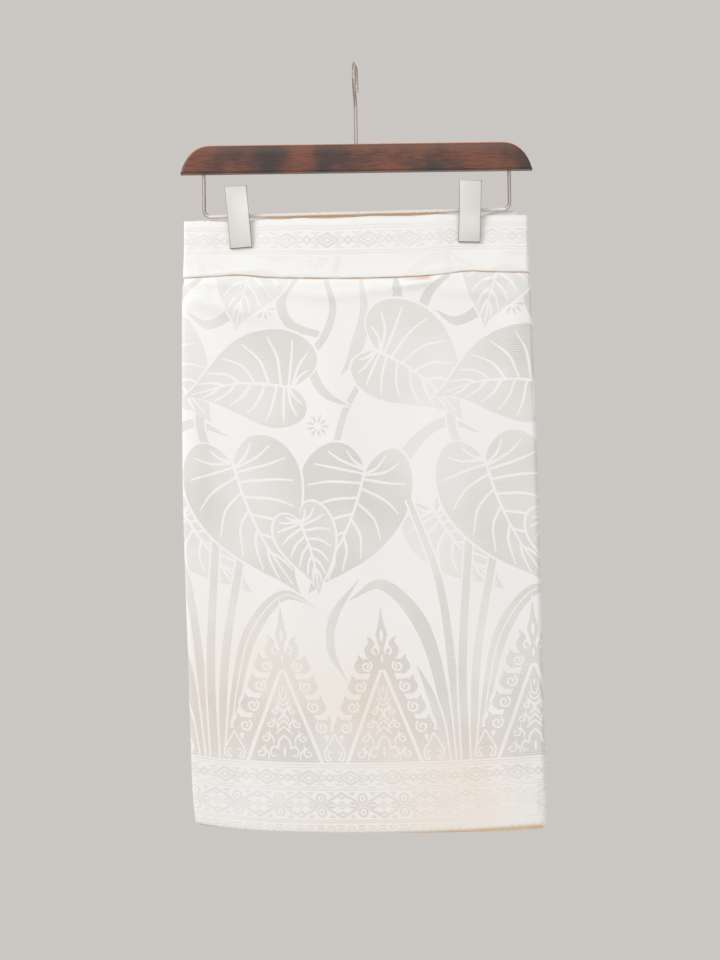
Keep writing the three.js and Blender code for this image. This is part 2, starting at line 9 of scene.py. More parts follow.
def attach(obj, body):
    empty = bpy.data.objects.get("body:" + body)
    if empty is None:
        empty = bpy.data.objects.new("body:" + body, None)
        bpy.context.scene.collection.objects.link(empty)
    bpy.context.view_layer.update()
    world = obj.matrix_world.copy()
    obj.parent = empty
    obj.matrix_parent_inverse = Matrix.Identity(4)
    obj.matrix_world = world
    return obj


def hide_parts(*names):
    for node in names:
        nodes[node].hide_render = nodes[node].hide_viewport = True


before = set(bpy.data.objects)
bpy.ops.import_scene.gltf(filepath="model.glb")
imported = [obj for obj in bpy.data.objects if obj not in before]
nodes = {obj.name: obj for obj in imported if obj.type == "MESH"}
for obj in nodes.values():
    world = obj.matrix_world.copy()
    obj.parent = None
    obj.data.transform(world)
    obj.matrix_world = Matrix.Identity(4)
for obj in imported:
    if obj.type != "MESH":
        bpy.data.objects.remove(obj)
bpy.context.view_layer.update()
mm = 0.001


class Link:
    # An output of a node, which can be added, multiplied and so on with numbers and other links.
    def __init__(self, tree, socket=None):
        self.tree = tree
        self.socket = socket

    def node(self, kind, settings=None, values=None, output=0):
        made = self.tree.nodes.new("ShaderNode" + kind)
        for name, value in (settings or {}).items():
            setattr(made, name, value)
        for name, value in (values or {}).items():
            self.feed(made.inputs[name], value)
        return Link(self.tree, made.outputs[output])

    def feed(self, slot, value):
        if isinstance(value, Link):
            self.tree.links.new(value.socket, slot)
        else:
            slot.default_value = value

    def maths(self, operation, *values):
        return self.node("Math", {"operation": operation}, dict(enumerate(values)))

    def __add__(self, other):
        return self.maths("ADD", self, other)

    def __mul__(self, other):
        return self.maths("MULTIPLY", self, other)

    def __sub__(self, other):
        return self.maths("SUBTRACT", self, other)

    def __rsub__(self, other):
        return self.maths("SUBTRACT", other, self)

    __radd__ = __add__
    __rmul__ = __mul__

    def wave(self):
        return self.maths("SINE", self)

    def size(self):
        return self.maths("ABSOLUTE", self)

    def between(self, low, high, start=0.0, end=1.0):
        # Fades from start to end as this value goes from low to high.
        values = {"Value": self, "From Min": low, "From Max": high, "To Min": start, "To Max": end}
        return self.node("MapRange", {"interpolation_type": "SMOOTHSTEP"}, values)

    def blend(self, first, second):
        values = {"Factor": self, 6: first, 7: second}
        return self.node("Mix", {"data_type": "RGBA"}, values, 2)

    def stretched(self, scale):
        return self.node("Mapping", values={"Vector": self, "Scale": scale})

    def noise(self, scale, detail=1.0):
        values = {"Vector": self, "Scale": scale, "Detail": detail}
        return self.node("TexNoise", values=values)

    def parts(self):
        # Across, depth and up of a place.
        split = self.node("SeparateXYZ", values={"Vector": self})
        return [Link(self.tree, socket) for socket in split.socket.node.outputs]

    def raised(self, strength, distance):
        # The normals of a surface that this value raises.
        values = {"Strength": strength, "Distance": distance, "Height": self}
        return self.node("Bump", values=values)

    def dress(self, values):
        # Gives the material's surface its values, each a number, a colour or a link.
        surface = self.tree.nodes["Principled BSDF"]
        for name, value in values.items():
            self.feed(surface.inputs[name], value)


def colour(red, green, blue):
    # Picture colours from 0 to 255 as light values.
    values = [c / 255 for c in (red, green, blue)]
    return (*[v / 12.92 if v < 0.04 else ((v + 0.055) / 1.055) ** 2.4 for v in values], 1.0)


def material(name, base, roughness, metallic=0.0):
    made = bpy.data.materials.new(name)
    made.use_nodes = True
    made.diffuse_color = base
    link = Link(made.node_tree)
    link.dress({"Base Color": base, "Roughness": roughness, "Metallic": metallic})
    return made, link


cloth = {
    "ground": colour(243, 243, 241),
    "thread": colour(213, 211, 207),
    "threadGap": colour(228, 226, 222),
    # The peach colours are a painted reflection of warm bounce light.
    "peachReflectionGround": colour(243, 234, 224),
    "peachReflectionThread": colour(228, 214, 202),
    # seamShade is painted shade, in the seam's groove and in the tuck.
    "seamShade": colour(224, 194, 170),
    "bandSilver": 0.72,
    "peachReflectionUp": (0.33, 0.08),
    "peachReflectionAcross": (0.39, 0.33),
    "borderTop": (0.077, 0.075),
    "paintedHighlightAcross": (0.24, 0.35),
    "paintedHighlightEnd": (0.41, 0.39),
    "paintedHighlightUp": (0.07, 0.02),
    "seamLine": (1.5 * mm, 0.35 * mm),
    "tuckAcross": (0.262, 0.29),
    "tuckEnd": (0.3, 0.293),
    "tuckDrop": (5.5 * mm, 2.5 * mm),
    "hatchPitch": 2.6 * mm,
    "twillPitch": 0.8 * mm,
    "roughness": 0.62,
    "specular": 0.35,
    "sheen": 0.15,
    "sheenRoughness": 0.4,
}


def brocade(name, seamAt, warm):
    # Satin ground with weft floats over its motifs. seamAt is the seam's height on the flat cloth.
    made, link = material(name, cloth["ground"], cloth["roughness"])
    tone = link.node("Attribute", {"attribute_name": "tone"}, output=2)
    flat = link.node("UVMap", {"uv_map": "flat"})
    across, up = flat.parts()[:2]
    run = link.node("UVMap", {"uv_map": "weft"}).parts()[1]
    # The floats wander a little, and a painted sheen makes their silver show more in some places than in
    # others.
    phase = (run + flat.noise(14.0) * (3 * mm)) * (2 * math.pi / cloth["hatchPitch"])
    # The lines between the floats are plain to see in some places and faint in others.
    plain = flat.noise(11.0, 1.0).between(0.38, 0.64, 0.3, 1.0)
    hatch = (phase.wave().between(-0.6, 0.5) - 0.5) * plain + 0.5
    silver = tone * flat.noise(8.0, 2.0).between(0.32, 0.66, 0.5, 1.12)
    if warm:
        # The borders are paler than the leaves, and a painted highlight makes them palest at the right end of
        # the hem.
        paintedHemHighlight = across.between(*cloth["paintedHighlightAcross"]) * across.between(*cloth["paintedHighlightEnd"])
        paintedHemHighlight = paintedHemHighlight * up.between(*cloth["paintedHighlightUp"])
        silver = silver * up.between(*cloth["borderTop"], 1.0, 0.8) * (1.0 - paintedHemHighlight * 0.7)
    else:
        silver = silver * cloth["bandSilver"]
    ground = cloth["ground"]
    thread = hatch.blend(cloth["threadGap"], cloth["thread"])
    if warm:
        # Painted reflection: a peach tint of warm bounce light over the lower front, strongest to the left,
        # on ground and floats.
        peachReflection = flat.noise(5.0, 1.0).between(0.34, 0.66) * up.between(*cloth["peachReflectionUp"])
        peachReflection = peachReflection * across.between(*cloth["peachReflectionAcross"], 0.25, 1.0)
        ground = (peachReflection * 0.75).blend(ground, cloth["peachReflectionGround"])
        thread = (peachReflection * 0.8).blend(thread, cloth["peachReflectionThread"])
    woven = silver.blend(ground, thread)
    fromSeam = (up - seamAt).size()
    # Painted shade along the seam's groove, broken here and there.
    seamShadeMask = fromSeam.between(*cloth["seamLine"]) * flat.noise(34.0).between(0.36, 0.6, 0.15, 0.9)
    if warm:
        # Painted shade of a small tuck that opens under the seam at one place of the front.
        tuck = across.between(*cloth["tuckAcross"]) * across.between(*cloth["tuckEnd"])
        tuckShadeMask = fromSeam.between(*cloth["tuckDrop"]) * tuck * 0.75
        seamShadeMask = seamShadeMask.maths("MAXIMUM", seamShadeMask, tuckShadeMask)
    twill = ((across + up * 0.4) * (2 * math.pi / cloth["twillPitch"])).wave()
    rise = tone * hatch * 0.8 + flat.noise(900.0) * 0.25 + twill * 0.08
    surface = {
        "Base Color": seamShadeMask.blend(woven, cloth["seamShade"]),
        "Roughness": cloth["roughness"] - tone * 0.2,
        "Normal": rise.raised(0.35, 0.25 * mm),
        "Sheen Weight": cloth["sheen"],
        "Sheen Roughness": cloth["sheenRoughness"],
        "Specular IOR Level": cloth["specular"],
    }
    link.dress(surface)
    return made


lining = {
    # shade is painted warm shade with bounce light, and lit is painted light.
    "shade": colour(255, 225, 190),
    "streak": colour(252, 215, 175),
    "lit": colour(241, 240, 237),
    "litAcross": (0.125, 0.145),
    "litUp": (-0.25, -0.2),
    "roughness": 0.75,
}


def brocadeInside():
    # The inside of the cloth: painted warm shade where little light reaches it, and painted light, white, at
    # the open right end.
    made, link = material("brocadeInside", lining["shade"], lining["roughness"])
    spot = link.node("TexCoord", output=3)
    across, up = spot.parts()[::2]
    streaks = spot.stretched((1, 1, 5)).noise(60.0, 2.0).between(0.35, 0.68)
    shade = streaks.blend(lining["shade"], lining["streak"])
    lit = across.between(*lining["litAcross"]) * up.between(*lining["litUp"])
    surface = {
        "Base Color": lit.blend(shade, lining["lit"]),
        "Normal": spot.noise(900.0).raised(0.3, 0.2 * mm),
        "Sheen Weight": cloth["sheen"],
    }
    link.dress(surface)
    return made


def table(*rows):
    return np.array(sorted(rows), float)


# The form of the folded cloth, in millimetres, as in its solids.
# Height, left edge, right edge and half thickness of the pack.
pack = table(
    (-163, -187.0, 184.8, 3.9), (-180, -187.2, 184.9, 3.8), (-200, -187.6, 185.0, 4.0),
    (-226, -188.8, 185.8, 5.0), (-232, -187.9, 186.6, 5.3), (-240, -189.8, 187.3, 5.9),
    (-290, -191.0, 188.4, 6.1), (-380, -192.0, 190.4, 5.9), (-468, -192.2, 192.0, 5.8),
    (-560, -190.8, 193.2, 5.8), (-640, -189.0, 194.2, 6.0), (-720, -187.6, 195.4, 6.3),
    (-790, -185.6, 196.2, 6.8), (-829, -181.5, 196.6, 7.2),
)
# Across and height of each edge.
waistFront = table((-190, -167), (-108, -166.6), (0, -165), (100, -163.2), (140, -164.6), (190, -165))
waistBack = table((-190, -167), (-165, -165.4), (-140, -163.8), (0, -161.4), (100, -160.2), (190, -158.6))
seam = table(
    (-190, -228.8), (-160, -227.6), (-128, -225.9), (-100, -228.7), (-60, -230.2), (0, -231.0),
    (60, -230.1), (90, -227.9), (119, -225.0), (150, -226.2), (190, -227.3),
)
hemFront = table(
    (-190, -815.5), (-160, -821), (-125, -825), (-60, -828), (6, -829), (97, -827.3), (146, -824.7),
    (197, -822),
)
hemBack = table((-190, -817), (-125, -825.5), (6, -829.6), (97, -830), (150, -828.6), (197, -825.6))
clips = [{"name": "left", "x": -127.8, "lean": 4.1}, {"name": "right", "x": 121.8, "lean": -1.8}]
# Across, height, lean, length, width and rise of each soft ridge or trough.
frontFolds = [
    (-150, -300, 16, 150, 24, 0.9),
    (-70, -600, -3, 380, 30, 1.3),
    (20, -660, 2, 320, 30, -1.1),
    (105, -560, 4, 430, 32, 1.4),
    (72, -240, 74, 60, 12, 1.2),
]
backFolds = [
    (-90, -520, 3, 430, 32, 1.3),
    (0, -640, -2, 330, 34, -1.0),
    (95, -480, -5, 380, 30, 1.1),
]
cut = {
    "wall": 1.2,
    "shell": 1.0,
    "gap": 0.3,
    "sideGap": 0.1,
    "strip": 12,
    "edgeReturn": 10,
    "hiddenReturn": 23,
    "legSlack": 0.2,
    "backFrom": 425.0,
}
layerStep = 2 * cut["wall"] + 2 * cut["gap"]


def read(rows, column, at):
    # Smooth value of a column at a place along the first one.
    keys, values = rows[:, 0], rows[:, column]
    at = np.clip(at, keys[0], keys[-1])
    i = np.clip(np.searchsorted(keys, at, side="right") - 1, 0, len(keys) - 2)
    slopes = np.empty(len(keys))
    slopes[1:-1] = (values[2:] - values[:-2]) / (keys[2:] - keys[:-2])
    slopes[0] = (values[1] - values[0]) / (keys[1] - keys[0])
    slopes[-1] = (values[-1] - values[-2]) / (keys[-1] - keys[-2])
    step = keys[i + 1] - keys[i]
    s = (at - keys[i]) / step
    ends = values[i] * (2 * s**3 - 3 * s**2 + 1) + values[i + 1] * (3 * s**2 - 2 * s**3)
    return ends + step * (slopes[i] * (s**3 - 2 * s**2 + s) + slopes[i + 1] * (s**3 - s**2))


rod = {"left": -165, "height": -162.2, "span": 330, "rise": 4.2}


def rodHeight(x):
    return rod["height"] + (x - rod["left"]) / rod["span"] * rod["rise"]


def relief(folds, x, z):
    total = np.zeros_like(x)
    for across, height, lean, length, width, rise in folds:
        a = math.radians(lean)
        along = (z - height) * math.cos(a) - (x - across) * math.sin(a)
        aside = (x - across) * math.cos(a) + (z - height) * math.sin(a)
        total += rise * np.exp(-((2 * along / length) ** 2) - (aside / width) ** 2)
    return total


# The clips press the pack in, and the seam draws it in.
jaw = {"deep": 1.1, "wide": 28, "tall": 20, "below": 35.2}
seamDip = {"deep": 1.2, "above": 1.5, "below": 2.5}
# How far in from an edge each relief comes to its full rise.
fadeIn = {"folds": 30, "fine": 12, "waist": 40}
waistHeight = -163.0


def halfThickness(x, z, folds, fine=()):
    fromEdge = np.minimum(x - read(pack, 1, z), read(pack, 2, z) - x)
    fade = np.clip(fromEdge / fadeIn["folds"], 0, 1)
    pressed = 0
    for clip in clips:
        aside, drop = x - clip["x"], z - rodHeight(clip["x"]) + jaw["below"]
        pressed = pressed + jaw["deep"] * np.exp(-((aside / jaw["wide"]) ** 4) - (drop / jaw["tall"]) ** 2)
    fromSeam = z - read(seam, 1, x)
    reach = np.where(fromSeam > 0, seamDip["above"], seamDip["below"])
    drawn = seamDip["deep"] * np.exp(-np.abs(fromSeam) / reach)
    rise = relief(folds, x, z) * fade * np.clip((waistHeight - z) / fadeIn["waist"], 0, 1)
    edgeFade = np.clip(fromEdge / fadeIn["fine"], 0, 1)
    return read(pack, 3, z) - pressed * fade - drawn + rise + relief(fine, x, z) * edgeFade


# Flat place of each turn of the cloth: inner leg, left fold, front, right fold, back, free edge and the
# leg turned in there.
turns = np.array([0, 20, 31, 401, 419, 777, 781, 791], float)


def packPoint(station, z, inset, fineFront=(), fineBack=()):
    # Points of the pack's outline moved inwards by inset. Stations count the turns of the cloth.
    left, right = read(pack, 1, z), read(pack, 2, z)
    zone = np.minimum(np.floor(station), len(turns) - 2)
    share = station - zone
    leftRadius = halfThickness(left, z, frontFolds) - layerStep / 2
    rightRadius = halfThickness(right, z, frontFolds)
    leftMiddle = -layerStep / 2
    start, stop = left + leftRadius, right - rightRadius
    x, y = np.zeros_like(z), np.zeros_like(z)

    def put(mine, across, depth):
        x[mine], y[mine] = across[mine], depth[mine]

    def turnRound(mine, across, middle, radius, first):
        # A half turn of the cloth, from the angle at which it begins.
        a = first + math.pi * share
        put(mine, across + radius * np.cos(a), middle + radius * np.sin(a))

    legX = left + cut["hiddenReturn"] + (start - left - cut["hiddenReturn"]) * share
    under = halfThickness(legX, z, backFolds) - layerStep - cut["legSlack"]
    ease = np.clip((share - 0.5) * 2, 0, 1)
    put(zone == 0, legX, under * (1 - ease) + (leftMiddle + leftRadius) * ease - inset)
    turnRound(zone == 1, start, leftMiddle, leftRadius - inset, math.pi / 2)
    faceX = start + (stop - start) * share
    put(zone == 2, faceX, inset - halfThickness(faceX, z, frontFolds, fineFront))
    turnRound(zone == 3, stop, 0, rightRadius - inset, -math.pi / 2)

    edgeX = left + cut["strip"] + cut["wall"]
    backX = np.where(zone == 4, stop + (edgeX - stop) * share, edgeX)
    backY = halfThickness(backX, z, backFolds, fineBack) - inset
    put(zone >= 4, backX, backY)
    foldRadius = cut["wall"] + cut["gap"] / 2
    middle = backY + inset - foldRadius
    radius = foldRadius - inset
    turnRound(zone == 5, edgeX, middle, radius, math.pi / 2)
    put(zone == 6, edgeX + cut["edgeReturn"] * share, middle - radius)
    return np.column_stack([x, y, z])


def hang(upper, lower, tall, fineFront=(), fineBack=()):
    # Places flat points, across and up, on a stretch of cloth between two edges.
    def place(flat, inset):
        station = np.interp(flat[:, 0], turns, np.arange(len(turns)))
        roughX = packPoint(station, np.full(len(flat), waistHeight), 0)[:, 0]
        down = 1 - flat[:, 1] / tall
        z = upper(roughX) + (lower(roughX) - upper(roughX)) * down
        return packPoint(station, z, inset, fineFront, fineBack) * mm

    return place


# The woven motifs are drawn flat, in millimetres: across, and up from the hem.
def through(points, steps=5):
    # A smooth line through the points.
    points = np.asarray(points, float)
    ends = [2 * points[0] - points[1], *points, 2 * points[-1] - points[-2]]
    t = np.linspace(0, 1, steps, endpoint=False)[:, None]
    spans = []
    for a, b, c, d in zip(ends, ends[1:], ends[2:], ends[3:]):
        bend = (2 * a - 5 * b + 4 * c - d) * t**2 + (3 * b - a - 3 * c + d) * t**3
        spans.append(b + ((c - a) * t + bend) / 2)
    return np.vstack([*spans, points[-1:]])


def ribbon(points, widths, steps=5, grow=0.0):
    line = through(points, steps)
    at = np.linspace(0, 1, len(line))
    wide = np.interp(at, np.linspace(0, 1, len(widths)), widths)[:, None] / 2 + grow
    along = np.gradient(line, axis=0)
    along /= np.maximum(np.linalg.norm(along, axis=1, keepdims=True), 1e-9)
    side = np.column_stack([-along[:, 1], along[:, 0]]) * np.maximum(wide, 0.2)
    return np.vstack([line + side, (line - side)[::-1]])


def box(low, high, foot, top):
    return np.array([(low, foot), (high, foot), (high, top), (low, top)])


def rhomb(x, y, wide, tall):
    return np.array([(x - wide / 2, y), (x, y - tall / 2), (x + wide / 2, y), (x, y + tall / 2)])


def oval(x, y, wide, tall, sides=12):
    a = np.linspace(0, 2 * math.pi, sides, endpoint=False)
    return np.column_stack([x + wide / 2 * np.cos(a), y + tall / 2 * np.sin(a)])


def spiral(x, y, outer, inner, rounds, start):
    a = np.linspace(0, 1, int(rounds * 9) + 1)
    radius = outer + (inner - outer) * a
    angle = math.radians(start) + 2 * math.pi * rounds * a
    return np.column_stack([x + radius * np.cos(angle), y + radius * np.sin(angle)])


def levelFloats(centre, tilt, bow):
    # Weft floats that lie nearly level, but lean and bow about a centre.
    def height(points):
        dx, dy = (points - centre).T
        a = math.radians(tilt)
        return dy * math.cos(a) - dx * math.sin(a) + bow * dx**2

    return height


def floatsAlong(line):
    # Weft floats that run along a line, by each point's distance from it.
    def height(points):
        a, step = line[:-1], np.diff(line, axis=0)
        gap = points[:, None] - a
        share = np.clip((gap * step).sum(2) / (step**2).sum(1), 0, 1)[..., None]
        off = gap - share * step
        nearest = np.abs(off).sum(2).argmin(1)
        rows = np.arange(len(points))
        off, way = off[rows, nearest], step[nearest]
        side = np.sign(way[:, 0] * off[:, 1] - way[:, 1] * off[:, 0])
        return side * np.hypot(*off.T)

    return height


class Drawing:
    # Shapes in the order they are laid, with their tone from 0 (ground) to 1 (motif) and their floats.
    def __init__(self):
        self.shapes = []
        self.margin = 2.2

    def lay(self, shape, tone, floats=None):
        self.shapes.append((np.asarray(shape, float), tone, floats))

    def stroke(self, points, widths, steps=5, tone=1):
        self.lay(ribbon(points, widths, steps), tone)

    def nest(self, shape, x, y, *sizes):
        # Shapes of one kind, each in the one before. Width, height and tone of each.
        for wide, tall, tone in sizes:
            self.lay(shape(x, y, wide, tall), tone)

    def blade(self, points, widths, tone, along=True, rib=False):
        floats = floatsAlong(through(points, 3)) if along else None
        self.lay(ribbon(points, widths, 9, grow=self.margin), 0)
        self.lay(ribbon(points, widths, 9), tone, floats)
        if rib:
            self.stroke(points, [1.2, 2.0, 1.6, 0.8], 9, 0)

    def leaf(self, x, y, heading, length, width, bend, tone, halves, bow):
        # A heart-shaped leaf: its midrib bends as an arc from the notch to the tip.
        outline = [
            (0.03, 0), (-0.07, 0.06), (-0.16, 0.2), (-0.15, 0.36), (-0.03, 0.49), (0.16, 0.54),
            (0.36, 0.49), (0.57, 0.36), (0.76, 0.19), (0.9, 0.07), (1.04, 0),
        ]

        def onLeaf(points):
            points = np.asarray(points, float)
            turn = math.radians(heading) + math.radians(bend) * points[:, 0]
            steps = np.linspace(0, 1, 9)
            way = math.radians(heading) + math.radians(bend) * points[:, :1] * steps
            spine = np.column_stack([np.cos(way).mean(1), np.sin(way).mean(1)]) * points[:, :1] * length
            wide = np.where(points[:, 1:] > 0, halves[0], halves[1]) * width
            side = np.column_stack([-np.sin(turn), np.cos(turn)]) * points[:, 1:] * wide
            return np.array((x, y)) + spine + side

        upper = through(outline, 4)
        lower = upper[::-1][1:-1] * (1, -1)
        rim = onLeaf(np.vstack([upper, lower]))
        centre = rim.mean(0)
        away = (rim - centre) / np.linalg.norm(rim - centre, axis=1, keepdims=True)
        self.lay(rim + away * self.margin * 1.2, 0)
        self.lay(rim, tone, levelFloats(centre, 12 * math.sin(math.radians(heading * 3)), bow))
        self.stroke(onLeaf([(0.0, 0), (0.3, 0), (0.6, 0), (0.95, 0)]), [3.2, 3.0, 2.4, 1.4], tone=0)
        # Root on the midrib, then the end's place along and aside, of each vein.
        veins = [
            (0.02, -0.115, 0.19), (0.03, -0.08, 0.35), (0.06, 0.05, 0.455), (0.13, 0.25, 0.46),
            (0.24, 0.45, 0.375), (0.37, 0.62, 0.265), (0.51, 0.76, 0.16), (0.66, 0.87, 0.08),
        ]
        for side in (1, -1):
            for root, endX, endY in veins:
                root = root + 0.02 * side
                middle = (root * 0.62 + endX * 0.38, endY * 0.6 * side)
                points = onLeaf([(root, 0), middle, (endX, endY * side)])
                self.stroke(points, [2.6, 3.0, 2.4, 1.4], tone=0)

    def star(self, x, y, size, tone=0.8):
        # Pairs of thin rays.
        for k in range(18):
            a = math.radians(20 * k + (5 if k % 2 else -5) + 8)
            reach = size * (1.0, 0.82, 0.94)[k % 3]
            way = np.array([math.cos(a), math.sin(a)])
            spots = [np.array((x, y)) + way * r for r in (size * 0.3, reach * 0.7, reach)]
            self.stroke(spots, [0.6, 1.5, 0.8], 2, tone)

    def lines(self, low, high, y, thick=1.1, tone=1.0):
        steps = np.linspace(low, high, 3)
        self.stroke([(x, y) for x in steps], [thick, thick], 2, tone)

    def shoot(self, x, foot):
        # A bamboo-shoot triangle: an outer flame of curls, a plain frame, and scrolls inside.
        def both(points):
            points = np.asarray(points, float)
            return [points + (x, foot), points * (-1, 1) + (x, foot)]

        def pair(points, tone=1):
            for shape in both(points):
                self.lay(shape, tone)

        def cutLines(points, widths, steps=5):
            for line in both(points):
                self.stroke(line, widths, steps, 0)

        def triangle(half, tall, low=0.0):
            return np.array([(x - half, foot + low), (x + half, foot + low), (x, foot + tall)])

        curls = [(41.6, 38, 9.0), (33.2, 60, 8.8), (25.0, 82, 8.6), (17.4, 104, 8.2)]
        pair([(0, 0), (62, 0), (58, 34), (30, 100), (10, 134), (0, 176)], 0)
        for cx, cy, size in curls:
            pair(oval(cx + 2.5, cy + 1, 2.9 * size, 3.0 * size), 0)
        pair(ribbon([(49, 0), (38, 26), (20, 68), (2, 112)], [14, 10.5, 9.5, 6]))
        # Curls up the sides, each with a flame tip outside and a hooked line cut in it.
        for cx, cy, size in curls:
            flame = [(cx + 3, cy - 7), (cx + 8.8, cy - 1), (cx + 6.2, cy + 6), (cx + 8, cy + 12.6)]
            pair(oval(cx, cy, 2 * size, 2 * size))
            pair(ribbon(flame, [6, 8, 7, 0.6], 4))
            pair(ribbon([(cx - 9, cy - 8), (cx - 6, cy - 1), (cx - 9, cy + 7)], [8, 6, 8], 4))
            cutLines(spiral(cx - 0.6, cy, size - 1.9, 1.2, 1.4, 125), [2.4, 2.4, 1.6], 1)
        # The spade in the valley between two shoots.
        for side in (1, -1):
            hx = x + 53.5 * side
            self.stroke([(hx, foot), (hx, foot + 34)], [25, 9], 2)
            for hand in (1, -1):
                rim = [(3, 10.5), (6, 12), (7.4, 8), (4.4, 3.4), (9, 3), (10.6, 11), (6, 20), (0, 31)]
                self.stroke([(hx + a * hand, foot + b) for a, b in rim], [1.3, 1.7, 2.2, 1.8], 4, 0)
        # The plain frame and the filled triangle.
        self.lay(triangle(42.0, 109, -0.5), 0)
        self.lay(triangle(37.8, 98.5, 0), 1)
        scroll = [(0, 29), (5.6, 23), (7, 15), (11, 17), (15, 12), (12.6, 6), (8, 8)]
        cutLines(scroll, [2.0, 2.2, 2.0, 1.2], 4)
        for cx, cy, size in ((25.6, 9.6, 6.0), (20.4, 26, 5.4), (14.6, 41, 4.8), (9.6, 55, 4.2)):
            cutLines(spiral(cx, cy, size, 0.9, 1.2, 100), [2.0, 1.8, 1.2], 1)
            leaf = [(cx - 8.5, cy - 7.5), (cx - 8.6, cy - 1), (cx - 4.6, cy + 4.6), (cx - 5, cy + 9)]
            cutLines(leaf, [0.8, 2.0, 1.8, 0.6], 3)
        for low, tip, reach in ((30.5, 38.5, 9), (37.5, 45.5, 8), (45, 52, 6)):
            cutLines([(0, tip), (reach * 0.5, (low + tip) / 2), (reach, low)], [1.9, 1.9, 1.4], 2)
        for low, high, reach in ((56, 64, 8.4), (61.5, 70, 6.4), (67, 83, 4.4)):
            cutLines([(0, low), (reach * 0.7, low + 3), (reach, high)], [1.8, 1.7, 0.8], 3)
        for wide, tall, y in ((2.6, 11, 11), (2.0, 8, 80)):
            self.lay(oval(x, foot + y, wide, tall), 0)
        # The spear at the top, between two small curled leaves.
        horn = [(3, 107), (9, 113), (14.6, 121), (11, 129), (15.4, 137)]
        pair(ribbon(horn, [5, 10, 8, 7, 0.6]))
        pair(oval(6.6, 119, 9, 11))
        hook = [(3.6, 110), (3.2, 119), (6.2, 125), (10.2, 121.5), (8.4, 116.5), (6.4, 119)]
        cutLines(hook, [1.4, 2.2, 2.0, 1.2])
        spear = [(x, foot + h) for h in (100, 113, 122, 138, 150, 168)]
        self.stroke(spear, [9, 9, 4, 13, 6, 0.4])
        self.lay(oval(x, foot + 137, 3.6, 13), 0)
        self.lay(oval(x, foot + 112, 2.6, 10), 0)

    def diamond(self, x, y, pitch):
        # Nested diamonds, with small crossed ones between them.
        small = x + pitch / 2
        for side in (1, -1):
            ends = [(small - pitch / 2, y + 7.3 * side), (small, y), (small + pitch / 2, y - 7.3 * side)]
            self.stroke(ends, [2.2, 2.2], 2, 0.9)
            for tip in (x + pitch * 0.29, x - pitch * 0.29):
                peak = [(tip - 6, y + 8.6 * side), (tip, y + 5.2 * side), (tip + 6, y + 8.6 * side)]
                self.lay(peak, 0.9)
                self.lay([(px, py + 2 * side) for px, py in peak], 0)
        self.nest(rhomb, x, y, (31, 20.6, 0), (28, 18, 1), (19.4, 11.6, 0), (14.6, 8.4, 1), (7.4, 3.8, 0))
        self.nest(rhomb, small, y, (13, 12, 0), (11.5, 10.6, 1), (4.6, 4.4, 0))

    def flower(self, x, y, pitch):
        # Rings in pairs between the crossings of a thick zigzag, with diamonds and buds.
        other = x + pitch / 2
        for side in (1, -1):
            zigzag = [(x - pitch * 0.5, y + 13 * side), (x, y), (x + pitch * 0.5, y - 13 * side)]
            self.stroke(zigzag, [3.2, 2.6, 3.2], 2, 0.9)
        for side in (1, -1):
            ring = [(13.6, 13.4, 0), (11.4, 11.6, 1), (6.6, 7.6, 0), (2.2, 4.2, 1)]
            self.nest(oval, x, y + 7.4 * side, *ring)
            self.nest(rhomb, other, y + 10.4 * side, (13, 8.6, 1), (6, 3.2, 0))
            self.stroke([(other + r * side, y) for r in (4.6, 11.4, 19)], [0.6, 8.4, 0.6], 3)
            self.stroke([(other + 7 * side, y), (other + 15 * side, y)], [1.4, 1.4], 2, 0)
            for tip in (x + pitch * 0.25, x - pitch * 0.25):
                self.lay([(tip - 4, y + 14 * side), (tip, y + 9.6 * side), (tip + 4, y + 14 * side)], 0.9)
        self.nest(rhomb, other, y, (12.6, 12.6, 0), (10.4, 10.4, 1), (6.4, 6.4, 0), (3.4, 3.4, 1))

    def sprig(self, x, y):
        self.nest(rhomb, x, y, (11, 5.6, 0.9), (6, 2.6, 0))
        for side in (1, -1):
            for lift in (1.6, -1.6):
                self.lay(oval(x + 9.5 * side, y + lift, 5.4, 2.2, 8), 0.9)


panel = {"tall": 600.0, "repeat": 269.2, "start": 54.4, "foot": 76.0, "shoots": (73, 180)}


# One repeat in a layout of its own, the shapes behind first. A blade has its points, widths and tone, and may
# say whether the floats run along it and whether it has a rib. A star has its place, size and tone.
behind = [
    ([(146, 340), (134, 384), (146, 452), (180, 512)], [8, 8, 7, 5], 0.75, False),
    ([(206, 340), (202, 376), (216, 414), (252, 440), (292, 426)], [8, 12, 14, 10, 0.8], 0.9),
    ([(152, 462), (128, 474), (114, 496), (112, 524)], [0.8, 9, 10, 7], 0.85),
    ([(96, 600), (80, 576), (90, 550), (124, 538)], [6, 11, 10, 7], 0.9),
    ([(128, 600), (136, 566), (122, 530), (96, 512)], [5, 8, 8, 6], 0.8, False),
    ([(262, 600), (238, 578), (234, 546), (262, 520)], [5, 11, 10, 0.8], 0.85),
    ([(44, 600), (30, 564), (2, 548), (-22, 562)], [7, 12, 10, 0.8], 0.85),
    ([(204, 600), (206, 580), (196, 562), (178, 548)], [5, 11, 11, 0.8], 0.75),
    ([(166, 600), (170, 566), (162, 528), (144, 494)], [4, 9, 15, 0.8], 0.6),
    ([(8, 396), (-8, 440), (4, 496), (38, 532)], [7, 9, 9, 5], 0.85, False),
    ([(-4, 470), (-26, 500), (-52, 506), (-68, 486)], [6, 11, 10, 0.8], 0.9),
    ([(158, 274), (131, 236), (126, 198), (142, 164)], [0.8, 10, 9, 0.8], 0.9),
]
stars = [(62, 566, 13), (118, 440, 13), (226, 480, 12, 0.7)]
